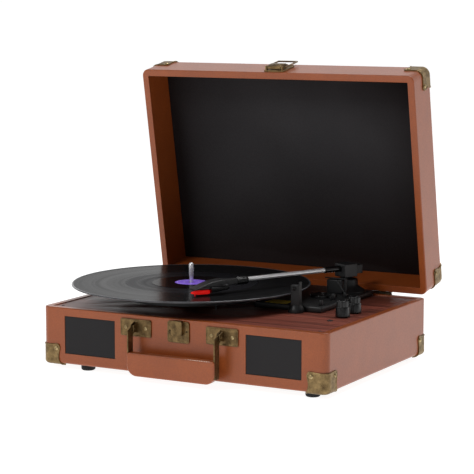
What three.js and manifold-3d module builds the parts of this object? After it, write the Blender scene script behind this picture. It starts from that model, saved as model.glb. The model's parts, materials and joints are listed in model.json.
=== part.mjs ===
// Suitcase record player: a hinged carrying case with a belt-driven turntable inside.
// Millimetres, +X to the right of the front, +Y to the back, +Z up.
// The pieces are modelled about the middle of the case, with z = 0 under the feet.
import * as THREE from 'three';
import { mergeVertices } from 'three/addons/utils/BufferGeometryUtils.js';
import Module from 'manifold-3d';

const wasm = await Module();
wasm.setup();

// ---------------------------------------------------------------- driving dimensions
const GAP = 0.3;                       // clearance between pieces that touch
const CASE = { width: 392, depth: 285, radius: 9, edge: 3.5, wall: 9 };
const BASE = { bottom: 7.2, top: 77.5, ledge: 3 };
const LID = { height: 50.5, rim: 77.9, panel: 0.8, inside: 47.9, openAngle: 79.5 };
const HINGE = { y: 145, z: 77.7, x: 133, width: 26, knuckle: 2.2, pin: 1.1, leaf: 20 };
const DECK = { top: 76.5, thick: 3 };
const DISC = { x: -59, y: -12.1, radius: 150.8, top: 99.6, thick: 1.8, hole: 3.95 };
const PLATTER = { radius: 92, top: 95, bottom: 84, plate: 3.6, skirt: 2.4, hub: 50, hubWall: 3 };
const SPINDLE = { radius: 3.6, top: 124.6, bottom: 62 };
const MOTOR = { angle: -35, reach: 72, pulley: 6, radius: 16, height: 26 };
const ARM_PLATE = { front: -21, back: 131, left: 31, right: 128, bottom: 76.8, top: 84, bevel: 1.6 };
const ARM = { x: 101.7, y: 106.2, yaw: 25.2, axis: 112.5, reach: 235.5, tube: 2.4, tubeZ: 116 };
const HEAD = { start: -165.8, drop: 2.6 };   // where the tube ends, and how much lower it is there
const REST = { x: 97.4, y: -27, base: 10, shelf: 111.2 };
const KNOB = { x: 161.3, yVolume: -30, yTone: 2.5, bottom: 8.75, top: 7.5, height: 20 };
const JACK = { x: 159, y: -59.5 };
const ADAPTER = { x: 93, y: 55, radius: 17.5, hole: 3.8, height: 3 };
const SPEED_SLOT = { x: 121.5, y: -5 };
const AUTO_SLOT = { x: 115, y: 36 };
const CUE = { x: 121, y: 62, length: 21, lean: 36 };
const LIFT = { x0: 84, x1: 115, y: 80, z: 103.2, thick: 2.4, post: 1.8, bottom: 66 };
const GRILLE = { inner: 90.4, outer: 163.6, bottom: 20.4, top: 67.4, ledge: 3, recess: 0.4 };
const HANDLE = { x: 59.5, pivotY: -149.8, pivotZ: 62.4, front: -164.6, back: -153.6, bottom: 7.2, top: 35.6 };
const CORNER = { leg: 26.5, height: 24.5, skin: 0.8, lip: 5.4 };
const FEET = { left: -139.4, right: 170.8, front: -127.2, back: 118, radius: 8.8 };
const LATCH = { half: 14.9, pin: 1.1, pivot: 7.5, loopPivot: 13, leverTop: 28, standoff: 4.8 };
const CATCH = { halfWidth: 7.5, top: 1.3, bottom: 19.3, depth: 6.4 };
const SOCKETS = { half: 31, bottom: 24, top: 50, z: 37, collar: 4.15, pinHole: 1.7, powerX: -20, power: 3.2 };
const SOCKET_X = [4, 20];

// ---------------------------------------------------------------- colours and finishes
const finish = (color, roughness, metalness = 0) => new THREE.MeshStandardMaterial({ color, roughness, metalness });
const LOOK = {
  leatherette: () => finish(0xa0603f, 0.6),
  brass: () => finish(0x8a7a50, 0.45, 0.9),
  wood: () => finish(0x4a2a22, 0.25),
  cloth: () => finish(0x302e2e, 0.95),
  black: () => finish(0x1b1b1d, 0.4),
  rubber: () => finish(0x101010, 0.8),
  chrome: () => finish(0xd8d8dc, 0.12, 1),
  steel: () => finish(0x9a9a9e, 0.35, 0.9),
  vinyl: () => finish(0x0b0b0d, 0.2),
  liner: () => finish(0x232124, 0.9),
  board: () => finish(0x6b5238, 0.8),
  red: () => finish(0xd21c1c, 0.35),
};

// ---------------------------------------------------------------- geometry helpers
const rad = THREE.MathUtils.degToRad;

/** Turns a closed three.js geometry into a solid that can be joined and cut. */
function solid(geometry) {
  const bare = geometry.clone();
  bare.deleteAttribute('normal');
  bare.deleteAttribute('uv');
  const merged = mergeVertices(bare, 1e-4);
  const triangles = [];
  const index = merged.index.array;
  for (let i = 0; i < index.length; i += 3) {
    const [a, b, c] = index.slice(i, i + 3);
    if (a !== b && b !== c && c !== a) triangles.push(a, b, c);
  }
  return new wasm.Manifold(new wasm.Mesh({
    numProp: 3,
    vertProperties: new Float32Array(merged.attributes.position.array),
    triVerts: new Uint32Array(triangles),
  }));
}

/** Turns a joined or cut solid back into a three.js geometry. */
function surface(body) {
  const mesh = body.getMesh();
  const geometry = new THREE.BufferGeometry();
  geometry.setAttribute('position', new THREE.BufferAttribute(mesh.vertProperties, 3));
  geometry.setIndex(new THREE.BufferAttribute(mesh.triVerts, 1));
  geometry.computeVertexNormals();
  return geometry;
}

const join = (...parts) => parts.reduce((whole, part) => whole.add(part));
const cut = (whole, ...tools) => tools.reduce((rest, tool) => rest.subtract(tool), whole);

function box(x0, x1, y0, y1, z0, z1) {
  const geometry = new THREE.BoxGeometry(x1 - x0, y1 - y0, z1 - z0);
  return geometry.translate((x0 + x1) / 2, (y0 + y1) / 2, (z0 + z1) / 2);
}

/** Upright cylinder or cone from z0 to z1. */
function post(x, y, z0, z1, radius, topRadius = radius, sides = 20) {
  const geometry = new THREE.CylinderGeometry(topRadius, radius, z1 - z0, sides);
  return geometry.rotateX(Math.PI / 2).translate(x, y, (z0 + z1) / 2);
}

/** Cylinder lying along X. */
function rod(x0, x1, y, z, radius, sides = 14) {
  const geometry = new THREE.CylinderGeometry(radius, radius, x1 - x0, sides);
  return geometry.rotateZ(Math.PI / 2).translate((x0 + x1) / 2, y, z);
}

/** Cylinder lying along Y. */
function bar(x, z, y0, y1, radius, sides = 14) {
  const geometry = new THREE.CylinderGeometry(radius, radius, y1 - y0, sides);
  return geometry.translate(x, (y0 + y1) / 2, z);
}

/** Closed turned shape about +Z at (x, y), from (radius, z) pairs. */
function turned(x, y, profile, sides = 24) {
  const points = profile.map(([radius, z]) => new THREE.Vector2(radius, z));
  if (THREE.ShapeUtils.area(points) < 0) points.reverse();
  const geometry = new THREE.LatheGeometry(points, sides);
  return geometry.rotateX(Math.PI / 2).translate(x, y, 0);
}

function roundedRectangle(width, height, radius) {
  const [x, y, r] = [width / 2, height / 2, radius];
  const shape = new THREE.Shape();
  shape.moveTo(-x + r, -y);
  shape.lineTo(x - r, -y);
  shape.absarc(x - r, -y + r, r, -Math.PI / 2, 0, false);
  shape.lineTo(x, y - r);
  shape.absarc(x - r, y - r, r, 0, Math.PI / 2, false);
  shape.lineTo(-x + r, y);
  shape.absarc(-x + r, y - r, r, Math.PI / 2, Math.PI, false);
  shape.lineTo(-x, -y + r);
  shape.absarc(-x + r, -y + r, r, Math.PI, 1.5 * Math.PI, false);
  return shape;
}

/** Outline extruded upward from z0 to z1, with its edges rounded by edge. */
function raised(shape, z0, z1, edge = 0, segments = 2) {
  const geometry = new THREE.ExtrudeGeometry(shape, {
    depth: z1 - z0 - 2 * edge,
    bevelEnabled: edge > 0,
    bevelThickness: edge,
    bevelSize: edge,
    bevelOffset: -edge,
    bevelSegments: 2,
    curveSegments: segments,
  });
  return geometry.translate(0, 0, z0 + edge);
}

/** Outline drawn in (x, z), given depth along Y from y0 to y1. */
function facing(shape, y0, y1, edge = 0, segments = 2) {
  return raised(shape, -y1, -y0, edge, segments).rotateX(Math.PI / 2);
}

/** Outline drawn in (y, z), given depth along X from x0 to x1. */
function sideways(shape, x0, x1, edge = 0, segments = 2) {
  return raised(shape, x0, x1, edge, segments).rotateX(Math.PI / 2).rotateZ(Math.PI / 2);
}

function polygon(points) {
  return new THREE.Shape(points.map(([x, y]) => new THREE.Vector2(x, y)));
}

const player = new THREE.Group();
const lid = new THREE.Group();
const arm = new THREE.Group();
player.add(lid, arm);

function add(name, geometry, look, group = player) {
  const mesh = new THREE.Mesh(geometry, look());
  mesh.name = name;
  group.add(mesh);
  return mesh;
}

// ---------------------------------------------------------------- case
/** The outside of the base or lid, grown by an offset. */
function caseBlock(z0, z1, offset = 0) {
  const outline = roundedRectangle(CASE.width + 2 * offset, CASE.depth + 2 * offset, CASE.radius + offset);
  return solid(raised(outline, z0 - offset, z1 + offset, CASE.edge + offset));
}

/** A block inside the walls of the case. */
function inside(wall, z0, z1) {
  const radius = Math.max(CASE.radius - wall, 1);
  const outline = roundedRectangle(CASE.width - 2 * wall, CASE.depth - 2 * wall, radius);
  return solid(raised(outline, z0, z1, 0, 1));
}

const front = -CASE.depth / 2;
const back = CASE.depth / 2;
const deckBottom = DECK.top - DECK.thick;
const boardTop = BASE.bottom + 4.3;

function makeBase() {
  const narrow = CASE.wall + BASE.ledge;
  let shell = cut(
    caseBlock(BASE.bottom, BASE.top),
    inside(narrow, BASE.bottom - 1, BASE.top + 1),
    inside(CASE.wall, deckBottom - GAP, BASE.top + 1),
    inside(CASE.wall, BASE.bottom - 1, boardTop + GAP),
  );
  for (const side of [-1, 1]) {
    const [x0, x1] = [side * GRILLE.inner, side * GRILLE.outer].sort((a, b) => a - b);
    const seat = box(x0, x1, front - 1, front + 3, GRILLE.bottom, GRILLE.top);
    const l = GRILLE.ledge;
    const hole = box(x0 + l, x1 - l, front, front + narrow + 1, GRILLE.bottom + l, GRILLE.top - l);
    shell = cut(shell, solid(seat), solid(hole));
    const name = side < 0 ? 'left' : 'right';
    const grille = box(x0 + GAP, x1 - GAP, front + GRILLE.recess, front + 3 - GAP,
      GRILLE.bottom + GAP, GRILLE.top - GAP);
    add(`speaker_grille_${name}`, grille, LOOK.cloth);
    makeSpeaker(name, (x0 + x1) / 2, front + narrow + GAP);
  }
  const recess = box(-SOCKETS.half, SOCKETS.half, back - narrow - 1, back + 1, SOCKETS.bottom, SOCKETS.top);
  shell = cut(shell, solid(recess));
  add('base_shell', surface(shell), LOOK.leatherette);
  const board = inside(CASE.wall + GAP, BASE.bottom, boardTop);
  add('bottom_board', surface(board), LOOK.board);
}

/** Loudspeaker behind a grille: basket, magnet and mounting flange, facing the front. */
function makeSpeaker(name, x, y) {
  const z = (GRILLE.bottom + GRILLE.top) / 2;
  const profile = [[0, 4], [13, 4], [21, 0], [24, 0], [24, 2], [16, 16], [16, 28], [0, 28]];
  const cone = turned(0, 0, profile, 18).rotateX(-Math.PI / 2).translate(x, y, z);
  add(`speaker_${name}`, cone, LOOK.black);
}

/** Hole that the post of the lift bar slides in, through the arm plate and the deck. */
function liftHole() {
  const z0 = deckBottom - 1;
  return solid(post(LIFT.x1 - 3, LIFT.y, z0, ARM_PLATE.top + 1, LIFT.post + GAP, LIFT.post + GAP, 12));
}

function makeDeck() {
  const deck = cut(
    inside(CASE.wall + GAP, deckBottom, DECK.top),
    solid(post(DISC.x, DISC.y, deckBottom - 1, DECK.top + 1, 7.4)),
    solid(post(...motorPlace(), deckBottom - 1, DECK.top + 1, 4)),
    solid(post(KNOB.x, KNOB.yVolume, deckBottom - 1, DECK.top + 1, 3.6)),
    solid(post(KNOB.x, KNOB.yTone, deckBottom - 1, DECK.top + 1, 3.6)),
    solid(post(JACK.x, JACK.y, deckBottom - 1, DECK.top + 1, 4)),
    liftHole(),
  );
  add('deck_plate', surface(deck), LOOK.wood);
  const [top, bottom, barrel, bore] = [DECK.top + 0.8, DECK.top - 13, 3.6, 1.8];
  const jack = [[0, bottom], [barrel, bottom], [barrel, top], [bore, top], [bore, bottom + 2], [0, bottom + 2]];
  add('aux_jack', turned(JACK.x, JACK.y, jack, 16), LOOK.black);
}

function makeFeet() {
  for (const x of ['left', 'right']) {
    for (const y of ['front', 'back']) {
      const foot = post(FEET[x], FEET[y], 0, BASE.bottom - GAP, FEET.radius - 0.8, FEET.radius);
      add(`foot_${y}_${x}`, foot, LOOK.rubber);
    }
  }
}

/** One face of a metal corner: concave between the screw lobe and the two case edges. */
function cornerFace(side, half, edgeZ, up) {
  const { leg, height } = CORNER;
  const at = (u, v) => [side * (half - u), edgeZ + up * v];
  const shape = new THREE.Shape();
  shape.moveTo(...at(-2, -2));
  shape.lineTo(...at(-2, height - 1));
  shape.quadraticCurveTo(...at(leg * 0.36, height - 4), ...at(leg * 0.62, height));
  shape.quadraticCurveTo(...at(leg + 0.5, height + 0.5), ...at(leg, height * 0.62));
  shape.quadraticCurveTo(...at(leg - 4, height * 0.3), ...at(leg - 1.5, -2));
  return shape;
}

/** Thin metal cap over one corner of the base (up = 1) or of the lid (up = -1). */
function cornerCap(sideX, sideY, z0, z1, up) {
  const edgeZ = up > 0 ? z0 : z1;
  const skin = caseBlock(z0, z1, GAP + CORNER.skin).subtract(caseBlock(z0, z1, GAP));
  const reach = CASE.radius + 2;
  const faceX = cornerFace(sideX, CASE.width / 2, edgeZ, up);
  const faceY = cornerFace(sideY, CASE.depth / 2, edgeZ, up);
  const [y0, y1] = [sideY * (back + 2), sideY * (back - reach)].sort((a, b) => a - b);
  const [x0, x1] = [sideX * (CASE.width / 2 + 2), sideX * (CASE.width / 2 - reach)].sort((a, b) => a - b);
  const region = join(solid(facing(faceX, y0, y1)), solid(sideways(faceY, x0, x1)));
  const hollow = box(-CASE.width / 2 + CORNER.lip, CASE.width / 2 - CORNER.lip,
    front + CORNER.lip, back - CORNER.lip, z0 - 3, z1 + 3);
  return cut(skin.intersect(region), solid(hollow));
}

function makeCorners(prefix, z0, z1, up, group) {
  for (const sideX of [-1, 1]) {
    for (const sideY of [-1, 1]) {
      const name = `${prefix}_${sideY < 0 ? 'front' : 'back'}_${sideX < 0 ? 'left' : 'right'}`;
      add(name, surface(cornerCap(sideX, sideY, z0, z1, up)), LOOK.brass, group);
    }
  }
}

// ---------------------------------------------------------------- lid, hinges and latch
// The lid is drawn closed and turned about the hinge line.
const lidTop = BASE.top + LID.height;

function makeLid() {
  const panelZ = BASE.top + LID.inside;
  const ceiling = panelZ + LID.panel + GAP;
  const shell = cut(
    caseBlock(LID.rim, lidTop),
    inside(CASE.wall, LID.rim - 1, ceiling),
  );
  add('lid_shell', surface(shell), LOOK.leatherette, lid);
  const liner = inside(CASE.wall + GAP, panelZ, panelZ + LID.panel);
  add('lid_liner', surface(liner), LOOK.liner, lid);
}

/** Knuckles of one hinge leaf, with the leaf plate behind the case. */
function hingeLeaf(x, spans, plateZ0, plateZ1) {
  const half = HINGE.width / 2;
  const parts = [solid(box(x - half, x + half, back + GAP, back + 1.5, plateZ0, plateZ1))];
  for (const [a, b] of spans) {
    parts.push(solid(rod(x + a, x + b, HINGE.y, HINGE.z, HINGE.knuckle)));
    const [z0, z1] = plateZ0 < HINGE.z ? [plateZ1 - 1, HINGE.z] : [HINGE.z, plateZ0 + 1];
    parts.push(solid(box(x + a, x + b, back + GAP, back + 1.5, z0, z1)));
  }
  return join(...parts);
}

function makeHinges() {
  const third = HINGE.width / 6;
  const half = HINGE.width / 2;
  for (const side of [-1, 1]) {
    const x = side * HINGE.x;
    const name = side < 0 ? 'left' : 'right';
    const outer = [[-half, -third - GAP], [third + GAP, half]];
    const lower = hingeLeaf(x, outer, HINGE.z - HINGE.leaf - 3, HINGE.z - 3);
    const pin = solid(rod(x - half - 1, x + half + 1, HINGE.y, HINGE.z, HINGE.pin, 12));
    add(`hinge_lower_${name}`, surface(join(lower, pin)), LOOK.brass);
    const bore = solid(rod(x - half, x + half, HINGE.y, HINGE.z, HINGE.pin + GAP, 12));
    const upper = hingeLeaf(x, [[-third, third]], HINGE.z + 3, HINGE.z + HINGE.leaf + 3);
    add(`hinge_upper_${name}`, surface(cut(upper, bore)), LOOK.brass, lid);
  }
}

/** Strike plate on the base front, with a block that the loop hooks under. */
function makeCatch() {
  const face = front - GAP;
  const outline = roundedRectangle(2 * LATCH.half, 26, 3);
  const plate = facing(outline, face - 1.6, face, 0.4).translate(0, 0, BASE.top - 15.2);
  const height = CATCH.bottom - CATCH.top;
  const block = facing(roundedRectangle(2 * CATCH.halfWidth, height, 2.4), face - CATCH.depth, face - 1, 1);
  block.translate(0, 0, BASE.top - (CATCH.top + CATCH.bottom) / 2);
  const seatZ = BASE.top - CATCH.bottom;
  const seat = box(-CATCH.halfWidth - 1, CATCH.halfWidth + 1, face - 5.4, face - 3, seatZ - 1, seatZ + 1.2);
  add('latch_catch', surface(join(solid(plate), cut(solid(block), solid(seat)))), LOOK.brass);
}

/** Draw latch on the lid front. The lever turns on the plate's pin and carries the loop,
 *  which is folded back over the lever; swung down, it hooks on the catch of a shut case. */
function makeLatch() {
  const face = front - GAP;
  const [pivotZ, loopZ, topZ] = [LATCH.pivot, LATCH.loopPivot, LATCH.leverTop].map((z) => BASE.top + z);
  const pivotY = face - LATCH.standoff;
  const loopY = pivotY + 0.6;
  const { pin } = LATCH;
  const leverHalf = 9.6;
  const lugX = leverHalf + 1.8;
  const outline = roundedRectangle(2 * LATCH.half, 32, 3);
  const plate = facing(outline, face - 1.6, face, 0.4).translate(0, 0, BASE.top + 20.2);
  const lugs = [-1, 1].map((side) => solid(
    box(side * lugX - 1, side * lugX + 1, pivotY - 2, face - 1, pivotZ - 2.4, pivotZ + 2.4)));
  const pivotPin = solid(rod(-lugX - 0.6, lugX + 0.6, pivotY, pivotZ, pin, 12));
  add('latch_plate', surface(join(solid(plate), ...lugs, pivotPin)), LOOK.brass, lid);

  const profile = new THREE.Shape();
  profile.moveTo(pivotY + 1.9, pivotZ - 2);
  profile.lineTo(face - 2.1, topZ - 4);
  profile.lineTo(face - 4.5, topZ);
  profile.quadraticCurveTo(face - 10.5, (pivotZ + topZ) / 2, pivotY - 1.8, pivotZ - 2.2);
  const lever = cut(
    solid(sideways(profile, -leverHalf, leverHalf, 0.6, 3)),
    solid(rod(-13, 13, pivotY, pivotZ, pin + GAP, 12)),
    solid(rod(-13, 13, loopY, loopZ, pin + GAP, 12)),
  );
  add('latch_lever', surface(lever), LOOK.brass, lid);

  const [legIn, legOut] = [lugX + 1.3, LATCH.half - 0.6];
  const end = loopZ + LATCH.loopPivot + CATCH.bottom;
  const legs = [[-legOut, -legIn], [legIn, legOut]].map(([x0, x1]) => solid(
    box(x0, x1, loopY - 0.9, loopY + 0.9, loopZ - 0.9, end + 0.9)));
  const wire = join(
    solid(rod(-legOut, legOut, loopY, loopZ, pin, 12)),
    ...legs,
    solid(box(-legOut, legOut, loopY - 0.9, loopY + 0.9, end - 0.9, end + 0.9)),
  );
  add('latch_loop', surface(wire), LOOK.brass, lid);
}

// ---------------------------------------------------------------- carrying handle
function makeHandle() {
  const face = front - GAP;
  for (const side of [-1, 1]) {
    const name = side < 0 ? 'left' : 'right';
    const x = side * HANDLE.x;
    const plate = facing(roundedRectangle(43, 21, 2), face - 1.6, face, 0.4).translate(x, 0, HANDLE.pivotZ - 0.2);
    const parts = [solid(plate), solid(rod(x - 5.2, x + 5.2, HANDLE.pivotY, HANDLE.pivotZ, 1.5))];
    for (const lug of [-1, 1]) {
      const lx = x + lug * 4;
      parts.push(solid(box(lx - 1.2, lx + 1.2, HANDLE.pivotY - 3, face - 1, HANDLE.pivotZ - 4, HANDLE.pivotZ + 4)));
    }
    add(`handle_bracket_${name}`, surface(join(...parts)), LOOK.brass);
    add(`handle_strap_${name}`, surface(handleStrap(x)), LOOK.brass);
  }
  const [depth, height] = [HANDLE.back - HANDLE.front, HANDLE.top - HANDLE.bottom];
  const [half, round] = [HANDLE.x - 1 - GAP, 13];
  const outline = new THREE.Shape();
  outline.moveTo(-half + round, -height / 2);
  outline.lineTo(half - round, -height / 2);
  outline.quadraticCurveTo(half, -height / 2, half, -height / 2 + round);
  outline.lineTo(half, height / 2 - 2);
  outline.lineTo(half - 2, height / 2);
  outline.lineTo(-half + 2, height / 2);
  outline.lineTo(-half, height / 2 - 2);
  outline.lineTo(-half, -height / 2 + round);
  outline.quadraticCurveTo(-half, -height / 2, -half + round, -height / 2);
  const grip = facing(outline, HANDLE.front, HANDLE.front + depth, 1.6, 4);
  add('handle_grip', grip.translate(0, 0, (HANDLE.top + HANDLE.bottom) / 2), LOOK.leatherette);
}

/** Flat strap from the bracket pin down the end of the grip. */
function handleStrap(x) {
  const { pivotY, pivotZ, front: y0 } = HANDLE;
  const outline = new THREE.Shape();
  outline.moveTo(y0 + 0.4, pivotZ - 3.6);
  outline.lineTo(y0 + 0.4, 16);
  outline.quadraticCurveTo(y0 + 0.6, 8.4, y0 + 6, 8);
  outline.quadraticCurveTo(y0 + 9.6, 8.4, y0 + 9.8, 14);
  outline.lineTo(y0 + 9.8, pivotZ - 7.5);
  outline.lineTo(pivotY + 2, pivotZ - 3.6);
  outline.absarc(pivotY, pivotZ, 4.2, rad(-60), rad(110), false);
  outline.lineTo(y0 + 9, pivotZ + 1.4);
  const hole = solid(rod(x - 3, x + 3, pivotY, pivotZ, 1.5 + GAP, 14));
  return cut(solid(sideways(outline, x - 1, x + 1, 0, 3)), hole);
}

// ---------------------------------------------------------------- turntable
function motorPlace() {
  const angle = rad(MOTOR.angle);
  return [DISC.x + MOTOR.reach * Math.cos(angle), DISC.y + MOTOR.reach * Math.sin(angle)];
}

function makeTurntable() {
  const { x, y } = DISC;
  const bore = SPINDLE.radius + GAP;
  const under = PLATTER.top - PLATTER.plate;
  const skirt = PLATTER.radius - PLATTER.skirt;
  const platter = [
    [bore, PLATTER.top], [PLATTER.radius - 1, PLATTER.top], [PLATTER.radius, PLATTER.top - 1],
    [PLATTER.radius, PLATTER.bottom], [skirt, PLATTER.bottom], [skirt, under],
    [PLATTER.hub, under], [PLATTER.hub, PLATTER.bottom], [PLATTER.hub - PLATTER.hubWall, PLATTER.bottom],
    [PLATTER.hub - PLATTER.hubWall, under], [bore, under], [bore, PLATTER.top],
  ];
  add('platter', turned(x, y, platter, 48), LOOK.steel);

  const discBottom = DISC.top - DISC.thick;
  const mat = [
    [bore, PLATTER.top + GAP], [PLATTER.radius - 1, PLATTER.top + GAP],
    [PLATTER.radius - 1, discBottom - GAP], [bore, discBottom - GAP], [bore, PLATTER.top + GAP],
  ];
  add('platter_mat', turned(x, y, mat, 40), LOOK.rubber);

  const disc = [
    [DISC.hole, discBottom], [DISC.radius - 1, discBottom], [DISC.radius, discBottom + 0.5],
    [DISC.radius, DISC.top - 0.5], [DISC.radius - 1, DISC.top], [DISC.hole, DISC.top],
    [DISC.hole, discBottom],
  ];
  add('record', turned(x, y, disc, 72), LOOK.vinyl);

  const r = SPINDLE.radius;
  const spindle = [
    [0, SPINDLE.bottom], [r - 0.4, SPINDLE.bottom], [r - 0.4, PLATTER.top], [r, SPINDLE.top - 5],
    [r * 0.85, SPINDLE.top - 1.6], [r * 0.5, SPINDLE.top - 0.3], [0, SPINDLE.top],
  ];
  add('spindle', turned(x, y, spindle, 16), LOOK.chrome);

  const bearing = [
    [r + 0.2, 60], [7, 60], [7, DECK.top + GAP], [11, DECK.top + GAP], [11, DECK.top + 2],
    [6, DECK.top + 4], [r + 0.2, DECK.top + 4], [r + 0.2, 60],
  ];
  add('bearing_housing', turned(x, y, bearing, 20), LOOK.steel);
  makeDrive();
}

/** Motor under the deck, with a pulley that turns the platter hub through a belt. */
function makeDrive() {
  const [mx, my] = motorPlace();
  const motorTop = deckBottom - GAP;
  const motorBottom = motorTop - MOTOR.height;
  const can = [
    [0, motorBottom], [MOTOR.radius - 2, motorBottom], [MOTOR.radius, motorBottom + 2],
    [MOTOR.radius, motorTop], [1.6, motorTop], [1.6, motorTop - 6], [0, motorTop - 6],
  ];
  add('motor', turned(mx, my, can, 24), LOOK.steel);
  const p = MOTOR.pulley;
  const pulley = [
    [0, motorTop - 5.5], [1.1, motorTop - 5.5], [1.1, PLATTER.bottom], [p + 1, PLATTER.bottom],
    [p, PLATTER.bottom + 1], [p, PLATTER.bottom + 5], [p + 1, PLATTER.bottom + 6],
    [0, PLATTER.bottom + 6],
  ];
  add('motor_pulley', turned(mx, my, pulley, 18), LOOK.steel);

  const loop = (grow) => {
    const [big, small] = [PLATTER.hub + grow, p + grow];
    const lean = Math.acos((big - small) / MOTOR.reach);
    const shape = new THREE.Shape();
    shape.absarc(0, 0, big, lean, -lean + 2 * Math.PI, false);
    shape.absarc(MOTOR.reach, 0, small, -lean, lean, false);
    return shape;
  };
  const belt = cut(
    solid(raised(loop(1.1), PLATTER.bottom + 1.4, PLATTER.bottom + 4.6, 0, 14)),
    solid(raised(loop(GAP), PLATTER.bottom, PLATTER.bottom + 6, 0, 14)),
  );
  const geometry = surface(belt).rotateZ(rad(MOTOR.angle)).translate(DISC.x, DISC.y, 0);
  add('drive_belt', geometry, LOOK.rubber);
}

// ---------------------------------------------------------------- arm plate and its controls
function makeArmPlate() {
  const { front: y0, back: y1, left, right } = ARM_PLATE;
  const scoop = PLATTER.radius + 4;
  const angleAt = (dx, dy) => Math.atan2(dy, dx);
  const frontDx = Math.sqrt(scoop ** 2 - (y0 - DISC.y) ** 2);
  const leftDy = Math.sqrt(scoop ** 2 - (left - DISC.x) ** 2);
  const outline = new THREE.Shape();
  outline.moveTo(DISC.x + frontDx, y0);
  outline.lineTo(right, y0);
  outline.lineTo(right, y1);
  outline.lineTo(left, y1);
  outline.lineTo(left, DISC.y + leftDy);
  outline.absarc(DISC.x, DISC.y, scoop, angleAt(left - DISC.x, leftDy), angleAt(frontDx, y0 - DISC.y), true);
  const plate = cut(
    solid(raised(outline, ARM_PLATE.bottom, ARM_PLATE.top, ARM_PLATE.bevel, 5)),
    solid(post(ARM.x, ARM.y, ARM_PLATE.bottom - 1, ARM_PLATE.top + 1, 3.4)),
    ...[SPEED_SLOT, AUTO_SLOT].map(({ x, y }) => solid(
      box(x - 2, x + 2, y - 6, y + 6, ARM_PLATE.top - 3.6, ARM_PLATE.top + 1))),
    solid(post(REST.x, REST.y, ARM_PLATE.bottom - 1, ARM_PLATE.top + 1, REST.base + 0.4)),
    liftHole(),
  );
  add('arm_plate', surface(plate), LOOK.black);
  const top = ARM_PLATE.top + GAP;
  const { radius, hole, height } = ADAPTER;
  const ring = [
    [hole, top], [radius, top], [radius, top + height - 1], [radius - 1, top + height],
    [hole + 2, top + height], [hole, top + height - 1], [hole, top],
  ];
  add('adapter_45', turned(ADAPTER.x, ADAPTER.y, ring, 28), LOOK.black);
  add('speed_switch', switchTab(SPEED_SLOT, -3.6), LOOK.black);
  add('auto_stop_switch', switchTab(AUTO_SLOT, 3.6), LOOK.black);
}

/** Small sliding tab standing in its slot, pushed along it by offset. */
function switchTab(slot, offset) {
  const [x, y] = [slot.x, slot.y + offset];
  const foot = box(x - 1.5, x + 1.5, y - 1.5, y + 1.5, ARM_PLATE.top - 3.2, ARM_PLATE.top + 1.5);
  const cap = raised(roundedRectangle(4.6, 4.2, 1), ARM_PLATE.top + GAP, ARM_PLATE.top + 6.8, 0.6, 1);
  return surface(join(solid(foot), solid(cap.translate(x, y, 0))));
}

function makeKnobs() {
  for (const [name, y] of [['volume_knob', KNOB.yVolume], ['tone_knob', KNOB.yTone]]) {
    const z = DECK.top + 0.5;
    const profile = [
      [0, deckBottom], [3, deckBottom], [3, z], [KNOB.bottom, z], [KNOB.bottom, z + 1],
      [KNOB.top, z + KNOB.height - 1.5], [KNOB.top - 1.2, z + KNOB.height], [0, z + KNOB.height],
    ];
    add(name, turned(KNOB.x, y, profile, 24), LOOK.black);
  }
}

/** Post that the arm is parked on, with a shelf open toward the record. */
function makeArmRest() {
  const { x, y, base, shelf } = REST;
  const half = 5.5;
  const depth = 2.8;
  const foot = turned(x, y, [
    [0, DECK.top + GAP], [base, DECK.top + GAP], [base, DECK.top + 4.6], [base - 2.6, DECK.top + 8],
    [0, DECK.top + 8],
  ], 24);
  const stem = box(x - half, x + half, y - depth, y + depth, DECK.top + 7.5, shelf);
  const stop = box(x + half - 1.8, x + half, y - depth, y + depth, shelf - 1, shelf + 3.4);
  const hole = bar(x, shelf - 4.6, y - depth - 1, y + depth + 1, 2.6);
  add('arm_rest', surface(cut(join(solid(foot), solid(stem), solid(stop)), solid(hole))), LOOK.black);
}

/** Finger lever that raises the arm, and the bar it lifts. */
function makeCueing() {
  const top = ARM_PLATE.top + GAP;
  const hub = bar(CUE.x, top + 2.8, CUE.y - 3, CUE.y + 3, 2.6, 14);
  const stick = new THREE.CylinderGeometry(1, 1.3, CUE.length, 10).rotateX(Math.PI / 2);
  stick.translate(0, 0, CUE.length / 2).rotateY(rad(-CUE.lean)).translate(CUE.x, CUE.y, top + 2.8);
  add('cue_lever', surface(join(solid(hub), solid(stick))), LOOK.black);

  const lift = join(
    solid(post(LIFT.x1 - 3, LIFT.y, LIFT.bottom, LIFT.z + 1, LIFT.post, LIFT.post, 12)),
    solid(box(LIFT.x0, LIFT.x1, LIFT.y - 2, LIFT.y + 2, LIFT.z, LIFT.z + LIFT.thick)),
  );
  add('lift_bar', surface(lift), LOOK.black);
}

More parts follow.
